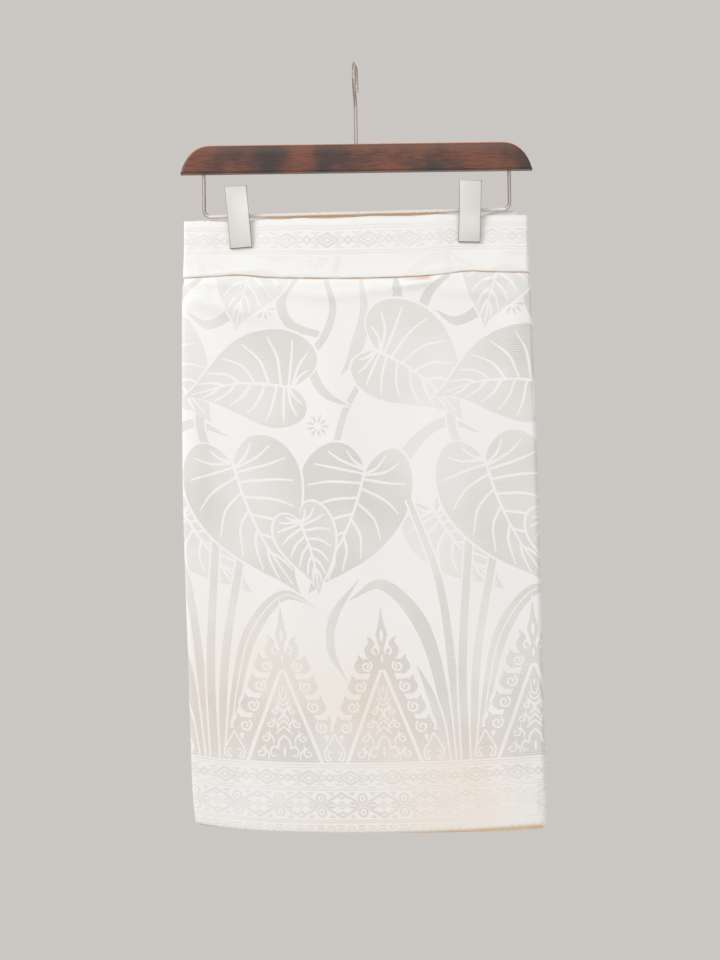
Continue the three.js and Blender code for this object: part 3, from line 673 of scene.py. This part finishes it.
clump = [
    ([(-10, 76), (-14, 170), (-26, 270), (-56, 360)], [7, 9, 8, 5], 0.9, False),
    ([(6, 76), (12, 180), (30, 280), (52, 380)], [7, 9, 8, 5], 0.9, False),
    ([(-2, 76), (-3, 180), (6, 300), (14, 394)], [8, 9, 8, 5], 1.0, False),
    ([(-17, 76), (-27, 158), (-47, 226), (-86, 268), (-122, 252)], [8, 12, 16, 12, 0.8], 1.0),
    ([(13, 76), (25, 158), (42, 216), (76, 256), (112, 244)], [8, 12, 16, 12, 0.8], 0.95, True, True),
    ([(-22, 76), (-29, 116), (-39, 150), (-52, 180)], [6, 9, 8, 0.8], 0.9, False),
]
# Place, heading, length, width, bend, tone, share of each half, and bow of the floats.
leaves = [
    (240, 346, -62, 112, 86, 22, 0.62, (1.05, 0.9), 0.008),
    (92, 482, 172, 116, 100, 28, 0.9, (0.86, 1.12), 0.008),
    (182, 522, -24, 120, 104, -34, 0.66, (1.14, 0.84), -0.007),
    (54, 622, -114, 84, 76, 16, 0.5, (1, 1), -0.008),
    (168, 394, -102, 146, 112, -26, 1.0, (0.9, 1.08), 0.008),
    (26, 398, -76, 152, 116, 24, 0.9, (1.08, 0.92), -0.007),
    (96, 338, -66, 80, 60, -20, 0.8, (1, 1), 0.008),
]


def spotsOver(low, high, pitch, start):
    first = math.floor((low - start) / pitch) - 1
    last = math.ceil((high - start) / pitch)
    return [start + pitch * k for k in range(first, last + 1)]


def leafField(draw, low, high):
    for blades, marks, mark in ((behind, stars, draw.star), (clump, leaves, draw.leaf)):
        for x in spotsOver(low, high, panel["repeat"], panel["start"]):
            for points, *rest in blades:
                draw.blade([(x + px, py) for px, py in points], *rest)
            for across, *rest in marks:
                mark(x + across, *rest)


def panelPattern(low, high):
    draw = Drawing()
    leafField(draw, low, high)
    for x in spotsOver(low, high, panel["repeat"], panel["start"]):
        for place in panel["shoots"]:
            draw.shoot(x + place, panel["foot"])
    draw.lay(box(low - 5, high + 5, -5, panel["foot"]), 0)
    for y in (73.4, 70.4, 49.2, 46.6, 13.6, 11.4):
        draw.lines(low - 5, high + 5, y)
    pitch = panel["repeat"] / 6
    for x in spotsOver(low, high, pitch, panel["start"] + 8):
        draw.diamond(x, 59.6, pitch)
        draw.flower(x + 12, 30, pitch)
    for x in spotsOver(low, high, pitch / 2, panel["start"] + 6):
        draw.sprig(x, 6)
    return draw


band = {"tall": 63.0, "clear": 23.0, "below": 420.0, "faint": 0.4}


def lowered(floats, drop):
    def height(points):
        return floats(points + (0, drop))

    return height


def bandPattern(low, high):
    # The border again, over the cut-off leaves of the next row down.
    draw = Drawing()
    field = Drawing()
    leafField(field, low, high)
    for shape, tone, floats in field.shapes:
        if shape[:, 1].min() < band["below"] + band["clear"] and shape[:, 1].max() > band["below"]:
            floats = floats and lowered(floats, band["below"])
            draw.lay(shape - (0, band["below"]), tone * band["faint"], floats)
    draw.lay(box(low - 5, high + 5, band["clear"], 70), 0)
    for y in (54.5, 51.8, 28.4, 26.0):
        draw.lines(low - 5, high + 5, y, 1.0, 0.9)
    pitch = panel["repeat"] / 6
    for x in spotsOver(low, high, pitch, panel["start"] - 4):
        draw.diamond(x, 40, pitch)
    return draw


def inside(points, shape):
    # Which of the points lie inside the shape, by how often it winds round them.
    turnsRound = np.zeros(len(points), int)
    a, b = shape, np.roll(shape, -1, axis=0)
    px, py = points[:, 0], points[:, 1]
    for (ax, ay), (bx, by) in zip(a, b):
        leftOf = (bx - ax) * (py - ay) - (px - ax) * (by - ay)
        turnsRound += ((ay <= py) & (by > py) & (leftOf > 0)).astype(int)
        turnsRound -= ((ay > py) & (by <= py) & (leftOf < 0)).astype(int)
    return turnsRound != 0


# Rows nearer than closeRow get an edge, and close points keep clear of the columns, so no sliver forms.
fineness = {"closeRow": 5.5, "clear": 0.6, "join": 1e-3, "leastArea": 1e-7}


def cutOut(window, columns, rows, close, outlines):
    # Triangles of the flat cloth, with an edge along every outline, column and close row.
    low, high, foot, top = window
    spots, edges = [], []

    def loop(points):
        start = len(spots)
        spots.extend(points)
        edges.extend((start + k, start + (k + 1) % len(points)) for k in range(len(points)))

    rim = [(x, foot) for x in columns] + [(high, y) for y in rows[1:-1]]
    rim += [(x, top) for x in columns[::-1]] + [(low, y) for y in rows[::-1][1:-1]]
    loop(rim)
    spots.extend((x, y) for x in columns[1:-1] for y in rows[1:-1])
    spots.extend(p for p in close if min(abs(p[0] - x) for x in columns) > fineness["clear"])
    lines = [((x, foot), (x, top)) for x in columns[1:-1]]
    lines += [((low, y), (high, y)) for a, y in zip(rows, rows[1:-1]) if y - a < fineness["closeRow"]]
    for a, b in lines:
        edges.append((len(spots), len(spots) + 1))
        spots.extend((a, b))
    for outline in outlines:
        loop([tuple(p) for p in outline])
    found = delaunay_2d_cdt([Vector(p) for p in spots], edges, [], 0, fineness["join"], False)
    flat = np.array([tuple(v) for v in found[0]], float)
    faces = np.array([f for f in found[2] if len(f) == 3], int)
    corner = flat[faces]
    middle = corner.mean(1)
    keep = (middle[:, 0] > low) & (middle[:, 0] < high) & (middle[:, 1] > foot) & (middle[:, 1] < top)
    area = (corner[:, 1, 0] - corner[:, 0, 0]) * (corner[:, 2, 1] - corner[:, 0, 1])
    area -= (corner[:, 2, 0] - corner[:, 0, 0]) * (corner[:, 1, 1] - corner[:, 0, 1])
    used, faces = np.unique(faces[keep & (np.abs(area) > fineness["leastArea"])], return_inverse=True)
    return np.clip(flat[used], (low, foot), (high, top)), faces.reshape(-1, 3)


def shell(faces, count):
    # Faces of the outside, the inside and the edges of a thin wall on the same triangles.
    seen = {}
    for a, b in np.vstack([faces[:, [0, 1]], faces[:, [1, 2]], faces[:, [2, 0]]]).tolist():
        seen[(a, b)] = (b, a) not in seen
        if (b, a) in seen:
            seen[(b, a)] = False
    sides = [(a, a + count, b + count, b) for (a, b), alone in seen.items() if alone]
    return faces.tolist(), (faces[:, ::-1] + count).tolist(), sides


def weave(name, window, columns, rows, close, draw, place, surfaces):
    # A closed thin shell, cut along its motifs so that each face has one tone and one run of floats.
    low, high, foot, top = window
    seen = []
    for shape in draw.shapes:
        least, most = shape[0].min(0), shape[0].max(0)
        if most[0] > low and least[0] < high and most[1] > foot and least[1] < top:
            seen.append(shape)
    outlines, ownTones, ownFloats = zip(*seen)
    flat, faces = cutOut(window, columns, rows, close, outlines)
    middle = flat[faces].mean(1)
    upmost = np.full(len(faces), -1)
    for index, outline in enumerate(outlines):
        near = np.flatnonzero(((middle > outline.min(0)) & (middle < outline.max(0))).all(1))
        upmost[near[inside(middle[near], outline)]] = index
    tones = np.array([*ownTones, 0.0])[upmost]
    weft = flat[faces][:, :, 1]
    for index, floats in enumerate(ownFloats):
        mine = np.flatnonzero(upmost == index)
        if floats and len(mine):
            weft[mine] = floats(flat[faces[mine]].reshape(-1, 2)).reshape(-1, 3)
    front, back, sides = shell(faces, len(flat))
    mesh = bpy.data.meshes.new(name)
    spots = np.vstack([place(flat, 0.0), place(flat, cut["shell"])])
    mesh.from_pydata(spots.tolist(), [], front + back + sides)
    mesh.update()
    toneLayer = mesh.attributes.new("tone", "FLOAT", "FACE")
    toneLayer.data.foreach_set("value", np.concatenate([tones, tones * 0.5, np.zeros(len(sides))]))
    corners = np.empty(len(mesh.loops), int)
    mesh.loops.foreach_get("vertex_index", corners)
    flatPlace = flat[corners % len(flat)] * mm
    runs = np.concatenate([weft.ravel(), weft[:, ::-1].ravel(), np.zeros(4 * len(sides))]) * mm
    for layerName, places in (("flat", flatPlace), ("weft", np.column_stack([flatPlace[:, 0], runs]))):
        mesh.uv_layers.new(name=layerName).data.foreach_set("uv", places.ravel())
    for surface in surfaces:
        mesh.materials.append(surface)
    slots = np.concatenate([np.zeros(len(front)), np.ones(len(back)), np.zeros(len(sides))]).astype(int)
    mesh.polygons.foreach_set("material_index", slots)
    print(name, len(front), "faces outside")
    return standing(name, mesh)


def standing(name, mesh):
    # Puts a finished mesh in the scene, with its faces outwards.
    mesh.shade_smooth()
    mesh.calc_loop_triangles()
    spots = np.array([v.co for v in mesh.vertices])
    a, b, c = (spots[[t.vertices[k] for t in mesh.loop_triangles]] for k in range(3))
    if (a * np.cross(b, c)).sum() < 0:
        mesh.flip_normals()
    made = bpy.data.objects.new(name, mesh)
    bpy.context.scene.collection.objects.link(made)
    return made


def declare(made, node, flat=None):
    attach(made, "root")
    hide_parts(node)


def spaced(low, high, step):
    return np.linspace(low, high, max(1, round((high - low) / step)) + 1)


def columnsFor(low, high):
    # Close together round the folds, wider on the flats.
    steps = [4, 1.4, 8, 1.6, 8, 0.8, 4]
    places = [low]
    for a, b, step in zip(turns, turns[1:], steps):
        if b > low and a < high:
            places.extend(spaced(max(a, low), min(b, high), step)[1:])
    return places


# Place, rise and reach of each small rise or dip along the front waist edge.
waistBumps = [
    (-150, -0.7, 9), (-96, 0.9, 8), (-61, 1.1, 10), (-30, -0.6, 9), (16, 0.8, 12), (58, -0.7, 14),
    (84, 0.5, 7),
]


def edgeLine(rows, lift=0.0, dip=0.0, reach=22, bumps=()):
    # Height of an edge across the pack, lifted all along, dipped under each clip or uneven.
    def height(x):
        under = sum(np.exp(-(((x - clip["x"]) / reach) ** 4)) for clip in clips)
        uneven = sum(rise * np.exp(-(((x - place) / wide) ** 2)) for place, rise, wide in bumps)
        return read(rows, 1, x) + lift - dip * under + uneven

    return height


seamAbove = edgeLine(seam, lift=cut["gap"] / 2)
seamBelow = edgeLine(seam, lift=-cut["gap"] / 2)
waistFrontAt = edgeLine(waistFront, dip=2.2, reach=15, bumps=waistBumps)
waistBackAt = edgeLine(waistBack, dip=5.6)
hemFrontAt = edgeLine(hemFront)
hemBackAt = edgeLine(hemBack)
inner = brocadeInside()

# Across, height, lean, length, width and rise of each fine crease, as for the folds.
panelCreases = {
    "front": [
        (-176, -246, 60, 40, 8, 2.8), (-140, -262, 78, 120, 9, 3), (-60, -246, 84, 90, 7, 2),
        (20, -244, 96, 110, 6, 1.7), (130, -248, 82, 90, 7, 2.2), (72, -231.6, 104, 34, 2.6, -1.2),
        (68, -236.4, 100, 44, 3.6, 2.2), (166, -304, -8, 120, 11, 1.8), (-176, -420, 4, 170, 11, 2),
        (-20, -420, 10, 240, 20, 2.2), (60, -360, -12, 180, 20, -0.9), (150, -700, 5, 220, 17, 2.2),
        (-130, -740, -6, 170, 22, -1), (170, -790, 50, 90, 15, 1.2), (-158, -235, 87, 60, 3.4, 1),
        (-62, -237, 91, 90, 3.2, 0.8), (40, -238, 89, 80, 3.2, 0.7), (150, -233, 92, 66, 3.4, 0.9),
        (-165, -238, 14, 22, 3.6, 0.75), (-148, -236, -10, 16, 3.2, 0.52), (-104, -238, 8, 24, 3.8, 0.68),
        (-86, -236, -18, 14, 3.0, 0.45), (-22, -240, 12, 20, 3.6, 0.6), (14, -239, -6, 16, 3.2, 0.45),
        (96, -237, 16, 22, 3.6, 0.68), (141, -235, -12, 18, 3.4, 0.6), (168, -237, 6, 24, 3.8, 0.75),
    ],
    "back": [
        (120, -260, 74, 120, 11, 1.2), (-130, -250, 100, 110, 10, 1), (60, -420, 8, 220, 22, -1),
        (-150, -640, -5, 240, 18, 1), (30, -770, 10, 150, 24, 0.9), (-60, -300, -14, 160, 20, 0.75),
        (150, -560, 4, 200, 20, 0.9),
    ],
}
bandCreases = {
    "front": [
        (-160, -190, 20, 50, 8, 0.45), (-60, -200, 84, 160, 8, 0.52), (50, -212, 95, 150, 7, -0.52),
        (160, -195, -12, 50, 9, 0.45), (-150, -223.5, 93, 60, 1.8, 0.42), (-128, -220.5, 86, 44, 1.6, 0.35),
        (-64, -225, 91, 46, 1.8, 0.35), (84, -222, 97, 50, 1.8, 0.38), (-172, -214, 40, 30, 4, 0.45),
    ],
    "back": [
        (-40, -205, 88, 180, 8, 0.52),
        (130, -190, 14, 50, 9, 0.45),
    ],
}
panelRows = [*spaced(0, 560, 10), *spaced(560, 590, 5)[1:], 592, 594, 596, 597.5, 598.8, panel["tall"]]
bandRows = [0, *spaced(1.2, 12, 1.2), *spaced(14, band["tall"], 6)]
puckers = [(x, y) for x in spaced(34, 398, 2) for y in (568, 573, 578, 583, 588, 593)]
panelDress = (panelRows, panelPattern(0, turns[-1]), brocade("brocadePanel", panel["tall"] * mm, True))
bandDress = (bandRows, bandPattern(0, turns[-1]), brocade("brocadeBand", 0.0, False))
backEdge = cut["backFrom"]
walls = [
    ("panelFront", "panel_front", seamBelow, hemFrontAt, 0, backEdge),
    ("panelBack", "panel_back", seamBelow, hemBackAt, backEdge + cut["sideGap"], turns[-1]),
    ("bandFront", "band_front", waistFrontAt, seamAbove, 0, backEdge),
    ("bandBack", "band_back", waistBackAt, seamAbove, backEdge + cut["sideGap"], turns[-1]),
]
for name, node, upper, lower, low, high in walls:
    isPanel = name.startswith("panel")
    tall = (panel if isPanel else band)["tall"]
    creases = panelCreases if isPanel else bandCreases
    rows, woven, outside = panelDress if isPanel else bandDress
    window = (low, high, 0, tall)
    close = puckers if name == "panelFront" else []
    place = hang(upper, lower, tall, creases["front"], creases["back"])
    made = weave(name, window, columnsFor(low, high), rows, close, woven, place, [outside, inner])
    declare(made, node, ((high - low) * mm, tall * mm))
print("cloth walls done")

layers = {
    "columns": 25,
    "inFromSide": 4.6,
    "thick": 0.9,
    "thickShare": 0.7,
    "wallRoom": 1.7,
    "legRoom": 0.6,
    "legFade": 9,
    # How far each layer starts under the top edge, and how far it ends over the foot.
    "ends": [(0.6, 0.8), (1.8, -0.4), (0.2, 1.2), (1.2, 0.3)],
    "panelWide": 372.0,
    "bandWide": 362.0,
}


def hiddenLayers(name, upper, lower, shares):
    # Four thin layers between the walls, each a closed slab with its own edge heights.
    across = np.linspace(0, 1, layers["columns"])

    def xAt(z):
        left, right = read(pack, 1, z), read(pack, 2, z)
        return left + layers["inFromSide"] + (right - left - 2 * layers["inFromSide"]) * across

    spots, faces = [], []
    columns, rows = len(across), len(shares)
    for layer, (topDrop, footLift) in enumerate(layers["ends"]):
        start = len(spots)
        for side in (-1, 1):
            for share in shares:
                x = xAt(np.array([waistHeight]))
                top = upper(x) - topDrop
                z = top + (lower(x) + footLift - top) * share
                x = xAt(z)
                pastLeg = x - read(pack, 1, z) - cut["hiddenReturn"]
                clear = np.clip(pastLeg / layers["legFade"] - 1, 0, 1)
                front = halfThickness(x, z, frontFolds) - layers["wallRoom"]
                back = halfThickness(x, z, backFolds) - layers["wallRoom"]
                back = back - (layerStep + layers["legRoom"]) * (1 - clear)
                room = (back + front) / len(layers["ends"])
                thick = np.minimum(layers["thick"], room * layers["thickShare"])
                y = room * (layer + 0.5) - front + side * thick / 2
                spots.extend(np.column_stack([x, y, z]))

        def at(side, r, c):
            return start + (side * rows + r) * columns + c

        for r in range(rows - 1):
            for c in range(columns - 1):
                faces.append((at(0, r, c), at(0, r + 1, c), at(0, r + 1, c + 1), at(0, r, c + 1)))
                faces.append((at(1, r, c), at(1, r, c + 1), at(1, r + 1, c + 1), at(1, r + 1, c)))
            faces.append((at(0, r, 0), at(1, r, 0), at(1, r + 1, 0), at(0, r + 1, 0)))
            c = columns - 1
            faces.append((at(0, r + 1, c), at(1, r + 1, c), at(1, r, c), at(0, r, c)))
        for c in range(columns - 1):
            faces.append((at(0, 0, c + 1), at(1, 0, c + 1), at(1, 0, c), at(0, 0, c)))
            r = rows - 1
            faces.append((at(0, r, c), at(1, r, c), at(1, r, c + 1), at(0, r, c + 1)))
    mesh = bpy.data.meshes.new(name)
    mesh.from_pydata((np.array(spots) * mm).tolist(), [], faces)
    mesh.materials.append(inner)
    return standing(name, mesh)


made = hiddenLayers("panelLayers", seamBelow, hemBackAt, np.linspace(0, 1, 22))
allWide = len(layers["ends"]) * layers["panelWide"] * mm
declare(made, "panel_layers", (allWide, panel["tall"] * mm))
made = hiddenLayers("bandLayers", waistFrontAt, seamAbove, np.linspace(0, 1, 7))
allWide = len(layers["ends"]) * layers["bandWide"] * mm
declare(made, "band_layers", (allWide, band["tall"] * mm))
print("hidden layers done")

wood = {
    "base": colour(122, 66, 43),
    "stain": colour(33, 34, 35),
    "streak": colour(58, 34, 28),
    # sheen is a painted reflection over the upper front, and rim a painted highlight along the top edge.
    "sheen": colour(122, 104, 96),
    "rim": colour(206, 124, 72),
    "roughness": 0.4,
    "top": -0.087,
    "sheenDepth": 0.011,
}


def darkWood():
    # Stained wood: soft dark blotches and fine level grain, with a painted sheen over the upper front and a
    # painted highlight along the top edge.
    made, link = material("darkWood", wood["base"], wood["roughness"])
    spot = link.node("TexCoord", output=3)
    grain = spot.stretched((1, 7, 14)).noise(64.0, 4.0)
    pores = spot.stretched((1, 8, 16)).noise(150.0, 2.0)
    cloud = spot.stretched((1, 1.2, 0.8)).noise(19.0, 3.0) + (grain - 0.5) * 0.24
    blotch = cloud.between(0.36, 0.68)
    shade = (blotch * 0.9).blend(wood["base"], wood["stain"])
    fine = spot.stretched((1, 4, 5)).noise(140.0, 3.0)
    shade = (grain.between(0.42, 0.68) * fine.between(0.3, 0.6) * 0.75).blend(shade, wood["streak"])
    up = spot.parts()[2]
    # Painted sheen: the upper band of the front face is blended toward a greyish reflection.
    upper = up.between(wood["top"] - wood["sheenDepth"], wood["top"] - 2 * mm)
    upper = upper * grain.between(0.3, 0.7, 0.5, 1.0)
    shade = (upper * 0.4).blend(shade, wood["sheen"])
    # Painted highlight: bright orange where the rounding along the top edge faces up and out.
    deep, facing = link.node("NewGeometry", output=1).parts()[1:]
    paintedRimHighlight = facing.between(0.25, 0.5) * facing.between(0.95, 0.8) * deep.size().between(0.25, 0.5)
    surface = {
        "Base Color": (paintedRimHighlight * 0.8).blend(shade, wood["rim"]),
        "Roughness": wood["roughness"] - 0.06 + grain * 0.16,
        "Normal": (grain * 0.7 + pores * 0.3).raised(0.2, 0.2 * mm),
        "Coat Weight": 0.15,
        "Coat Roughness": 0.25,
    }
    link.dress(surface)
    return made


wire = {
    "base": colour(246, 244, 241),
    "dull": colour(238, 235, 230),
    "roughness": 0.3,
    "metallic": 0.3,
    "smudge": 30.0,
    "brushed": 0.0,
    # edge is painted shade and reflection for what faces sideways or down.
    "edge": colour(124, 102, 90),
    "side": (0.05, 0.5),
    "under": (-0.8, -1.3),
}
plate = {
    "base": colour(228, 227, 222),
    "dull": colour(218, 217, 212),
    "roughness": 0.38,
    "metallic": 0.3,
    "smudge": 24.0,
    "brushed": 0.08,
    # edge is painted shade and reflection for what faces sideways or down.
    "edge": colour(122, 98, 90),
    "side": (0.5, 0.85),
    "under": (-0.35, -0.8),
    "edgeRound": 1.3 * mm,
    "edgeSteps": 3,
    "rim": 0.2 * mm,
}


def metal(name, finish):
    made, link = material(name, finish["base"], finish["roughness"], finish["metallic"])
    spot = link.node("TexCoord", output=3)
    smudge = spot.noise(finish["smudge"], 3.0).between(0.32, 0.68)
    shade = smudge.blend(finish["base"], finish["dull"])
    # Painted shade and reflection: what faces sideways or down is darker.
    across, up = link.node("NewGeometry", output=1).parts()[::2]
    side = across.size().between(*finish["side"])
    shade = side.maths("MAXIMUM", side, up.between(*finish["under"])).blend(shade, finish["edge"])
    rough = finish["roughness"] * 0.8 + smudge * (finish["roughness"] * 0.45)
    link.dress({"Base Color": shade, "Roughness": rough})
    if finish["brushed"]:
        brushed = spot.stretched((1, 1, 0.1)).noise(900.0, 2.0)
        link.dress({"Normal": brushed.raised(finish["brushed"], 0.1 * mm)})
    return made


woodSurface = darkWood()
wireSurface = metal("platedWire", wire)
plateSurface = metal("satinPlate", plate)


def alone(made):
    # Selects one object and nothing else.
    bpy.ops.object.select_all(action="DESELECT")
    made.select_set(True)
    bpy.context.view_layer.objects.active = made


def smoothed(made, angle):
    alone(made)
    bpy.ops.object.shade_smooth_by_angle(angle=math.radians(angle))


def applied(made, kind, settings):
    # Gives the chosen object a modifier and applies it at once.
    modifier = made.modifiers.new("step", kind)
    for name, value in settings.items():
        setattr(modifier, name, value)
    bpy.ops.object.modifier_apply(modifier="step")


class Editing:
    # Edit mode, for as long as the block under it runs.
    def __enter__(self):
        bpy.ops.object.mode_set(mode="EDIT")

    def __exit__(self, *problem):
        bpy.ops.object.mode_set(mode="OBJECT")


def welded():
    # Selects the whole mesh and joins the points that lie together.
    bpy.ops.mesh.select_all(action="SELECT")
    bpy.ops.mesh.remove_doubles(threshold=1e-6)


for node, surface, angle in (
    ("hanger_bar", woodSurface, 40),
    ("hanger_hook", wireSurface, 60),
    ("hanger_rod", wireSurface, 60),
):
    nodes[node].data.materials.clear()
    nodes[node].data.materials.append(surface)
    smoothed(nodes[node], angle)
print("hanger done")


def selectOnly(mesh, edges):
    # Selects some edges, for an operator in edit mode.
    mesh.vertices.foreach_set("select", [False] * len(mesh.vertices))
    mesh.polygons.foreach_set("select", [False] * len(mesh.polygons))
    mesh.edges.foreach_set("select", [edge.index in edges for edge in mesh.edges])


def clipPlate(name, node, facing):
    # A pressed plate on its solid's form, with the corners of its outer face rounded. facing is -1 in front.
    made = nodes[node].copy()
    made.data = nodes[node].data.copy()
    made.name = made.data.name = name
    bpy.context.scene.collection.objects.link(made)
    made.hide_render = False
    alone(made)
    bpy.context.tool_settings.mesh_select_mode = (False, True, False)
    with Editing():
        welded()
        bpy.ops.mesh.dissolve_limited(angle_limit=math.radians(0.5))
    mesh = made.data
    outer = max(mesh.polygons, key=lambda face: face.area * face.normal.y * facing)
    rim = {mesh.edges[mesh.loops[k].edge_index].index for k in outer.loop_indices}
    selectOnly(mesh, rim)
    with Editing():
        bpy.ops.mesh.bevel(offset=plate["edgeRound"], segments=plate["edgeSteps"], affect="EDGES")
    rounding = {"width": plate["rim"], "segments": 2, "limit_method": "ANGLE"}
    applied(made, "BEVEL", {**rounding, "angle_limit": math.radians(50)})
    mesh.materials.clear()
    mesh.materials.append(plateSurface)
    smoothed(made, 35)
    declare(made, node)


spring = {"thick": 1.1, "round": 3.45, "turns": 9, "pitch": 1.9, "sections": 8, "steps": 16}


def coilSpring(name, node, clip):
    # A wire coil round the rod: one round section, screwed along it.
    half = spring["turns"] * spring["pitch"] / 2
    middle = (-half * mm, 0, spring["round"] * mm)
    bpy.ops.object.select_all(action="DESELECT")
    bpy.ops.mesh.primitive_circle_add(
        vertices=spring["sections"],
        radius=spring["thick"] / 2 * mm,
        location=middle,
        rotation=(0, math.pi / 2, 0),
    )
    made = bpy.context.object
    made.name = made.data.name = name
    bpy.ops.object.transform_apply(location=True, rotation=True, scale=True)
    with Editing():
        bpy.ops.mesh.select_all(action="SELECT")
        # The section stands across the wire, which runs round the rod.
        bpy.ops.transform.rotate(value=math.pi / 2, orient_axis="Z", center_override=middle)
    coil = {"axis": "X", "iterations": spring["turns"], "screw_offset": spring["pitch"] * mm}
    applied(made, "SCREW", {**coil, "steps": spring["steps"], "render_steps": spring["steps"]})
    with Editing():
        welded()
        bpy.ops.mesh.fill_holes(sides=spring["sections"])
        bpy.ops.mesh.select_all(action="SELECT")
        bpy.ops.mesh.normals_make_consistent(inside=False)
    made.rotation_euler = (0, -math.radians(clip["lean"]), 0)
    made.location = (clip["x"] * mm, 0, rodHeight(clip["x"]) * mm)
    bpy.ops.object.transform_apply(location=True, rotation=True, scale=True)
    made.data.materials.append(wireSurface)
    smoothed(made, 60)
    declare(made, node)


for clip in clips:
    name, node = "clip" + clip["name"].title(), "clip_" + clip["name"]
    clipPlate(name + "Front", node + "_front", -1)
    clipPlate(name + "Back", node + "_back", 1)
    coilSpring(name + "Spring", node + "_spring", clip)
print("clips done")

studio = {"floorAt": -1.15, "floor": colour(230, 226, 221), "sky": colour(230, 226, 222), "skyStrength": 0.75}
bpy.ops.object.select_all(action="DESELECT")
bpy.ops.mesh.primitive_plane_add(size=1.1, location=(0, 0, studio["floorAt"]))
floor = bpy.context.object
floor.name = "floor"
floor.data.materials.append(material("paleFloor", studio["floor"], 0.8)[0])


def softLight(name, place, target, size, power, tint=(1, 1, 1)):
    bpy.ops.object.light_add(type="AREA", location=place)
    lamp = bpy.context.object
    lamp.name = name
    lamp.data.shape = "RECTANGLE"
    lamp.data.size, lamp.data.size_y = size
    lamp.data.energy = power
    lamp.data.color = tint
    lamp.rotation_euler = (Vector(target) - Vector(place)).to_track_quat("-Z", "Y").to_euler()


softLight("keyLight", (-1.8, -1.2, 0.9), (0, 0, -0.45), (0.8, 1.1), 34, (0.94, 0.97, 1.0))
softLight("fillLight", (1.7, -1.6, -0.2), (0, 0, -0.5), (1.2, 1.6), 5, (0.94, 0.97, 1.0))
softLight("frontLight", (0.1, -2.4, 0.1), (0, 0, -0.4), (1.6, 1.2), 6, (0.95, 0.98, 1.0))
softLight("backLight", (0.6, 2.0, 0.4), (0, 0, -0.45), (1.6, 1.6), 15)
world = bpy.data.worlds.new("studio")
bpy.context.scene.world = world
world.use_nodes = True
sky = world.node_tree.nodes["Background"].inputs
sky["Color"].default_value = studio["sky"]
sky["Strength"].default_value = studio["skyStrength"]
bpy.context.scene.view_settings.view_transform = "Standard"

# The photo's view: level, square on, and rolled a little because the hanger hangs crooked in it.
view = {"distance": 1.73, "across": -0.0006, "height": -0.4486, "lens": 60.0, "film": 36.0, "roll": 0.77}
bpy.ops.object.camera_add(location=(view["across"], -view["distance"], view["height"]))
camera = bpy.context.object
camera.data.lens = view["lens"]
camera.data.sensor_width = view["film"]
camera.data.sensor_fit = "AUTO"
camera.data.clip_start = 0.05
camera.rotation_euler = (math.radians(90), math.radians(view["roll"]), 0)
bpy.context.scene.camera = camera
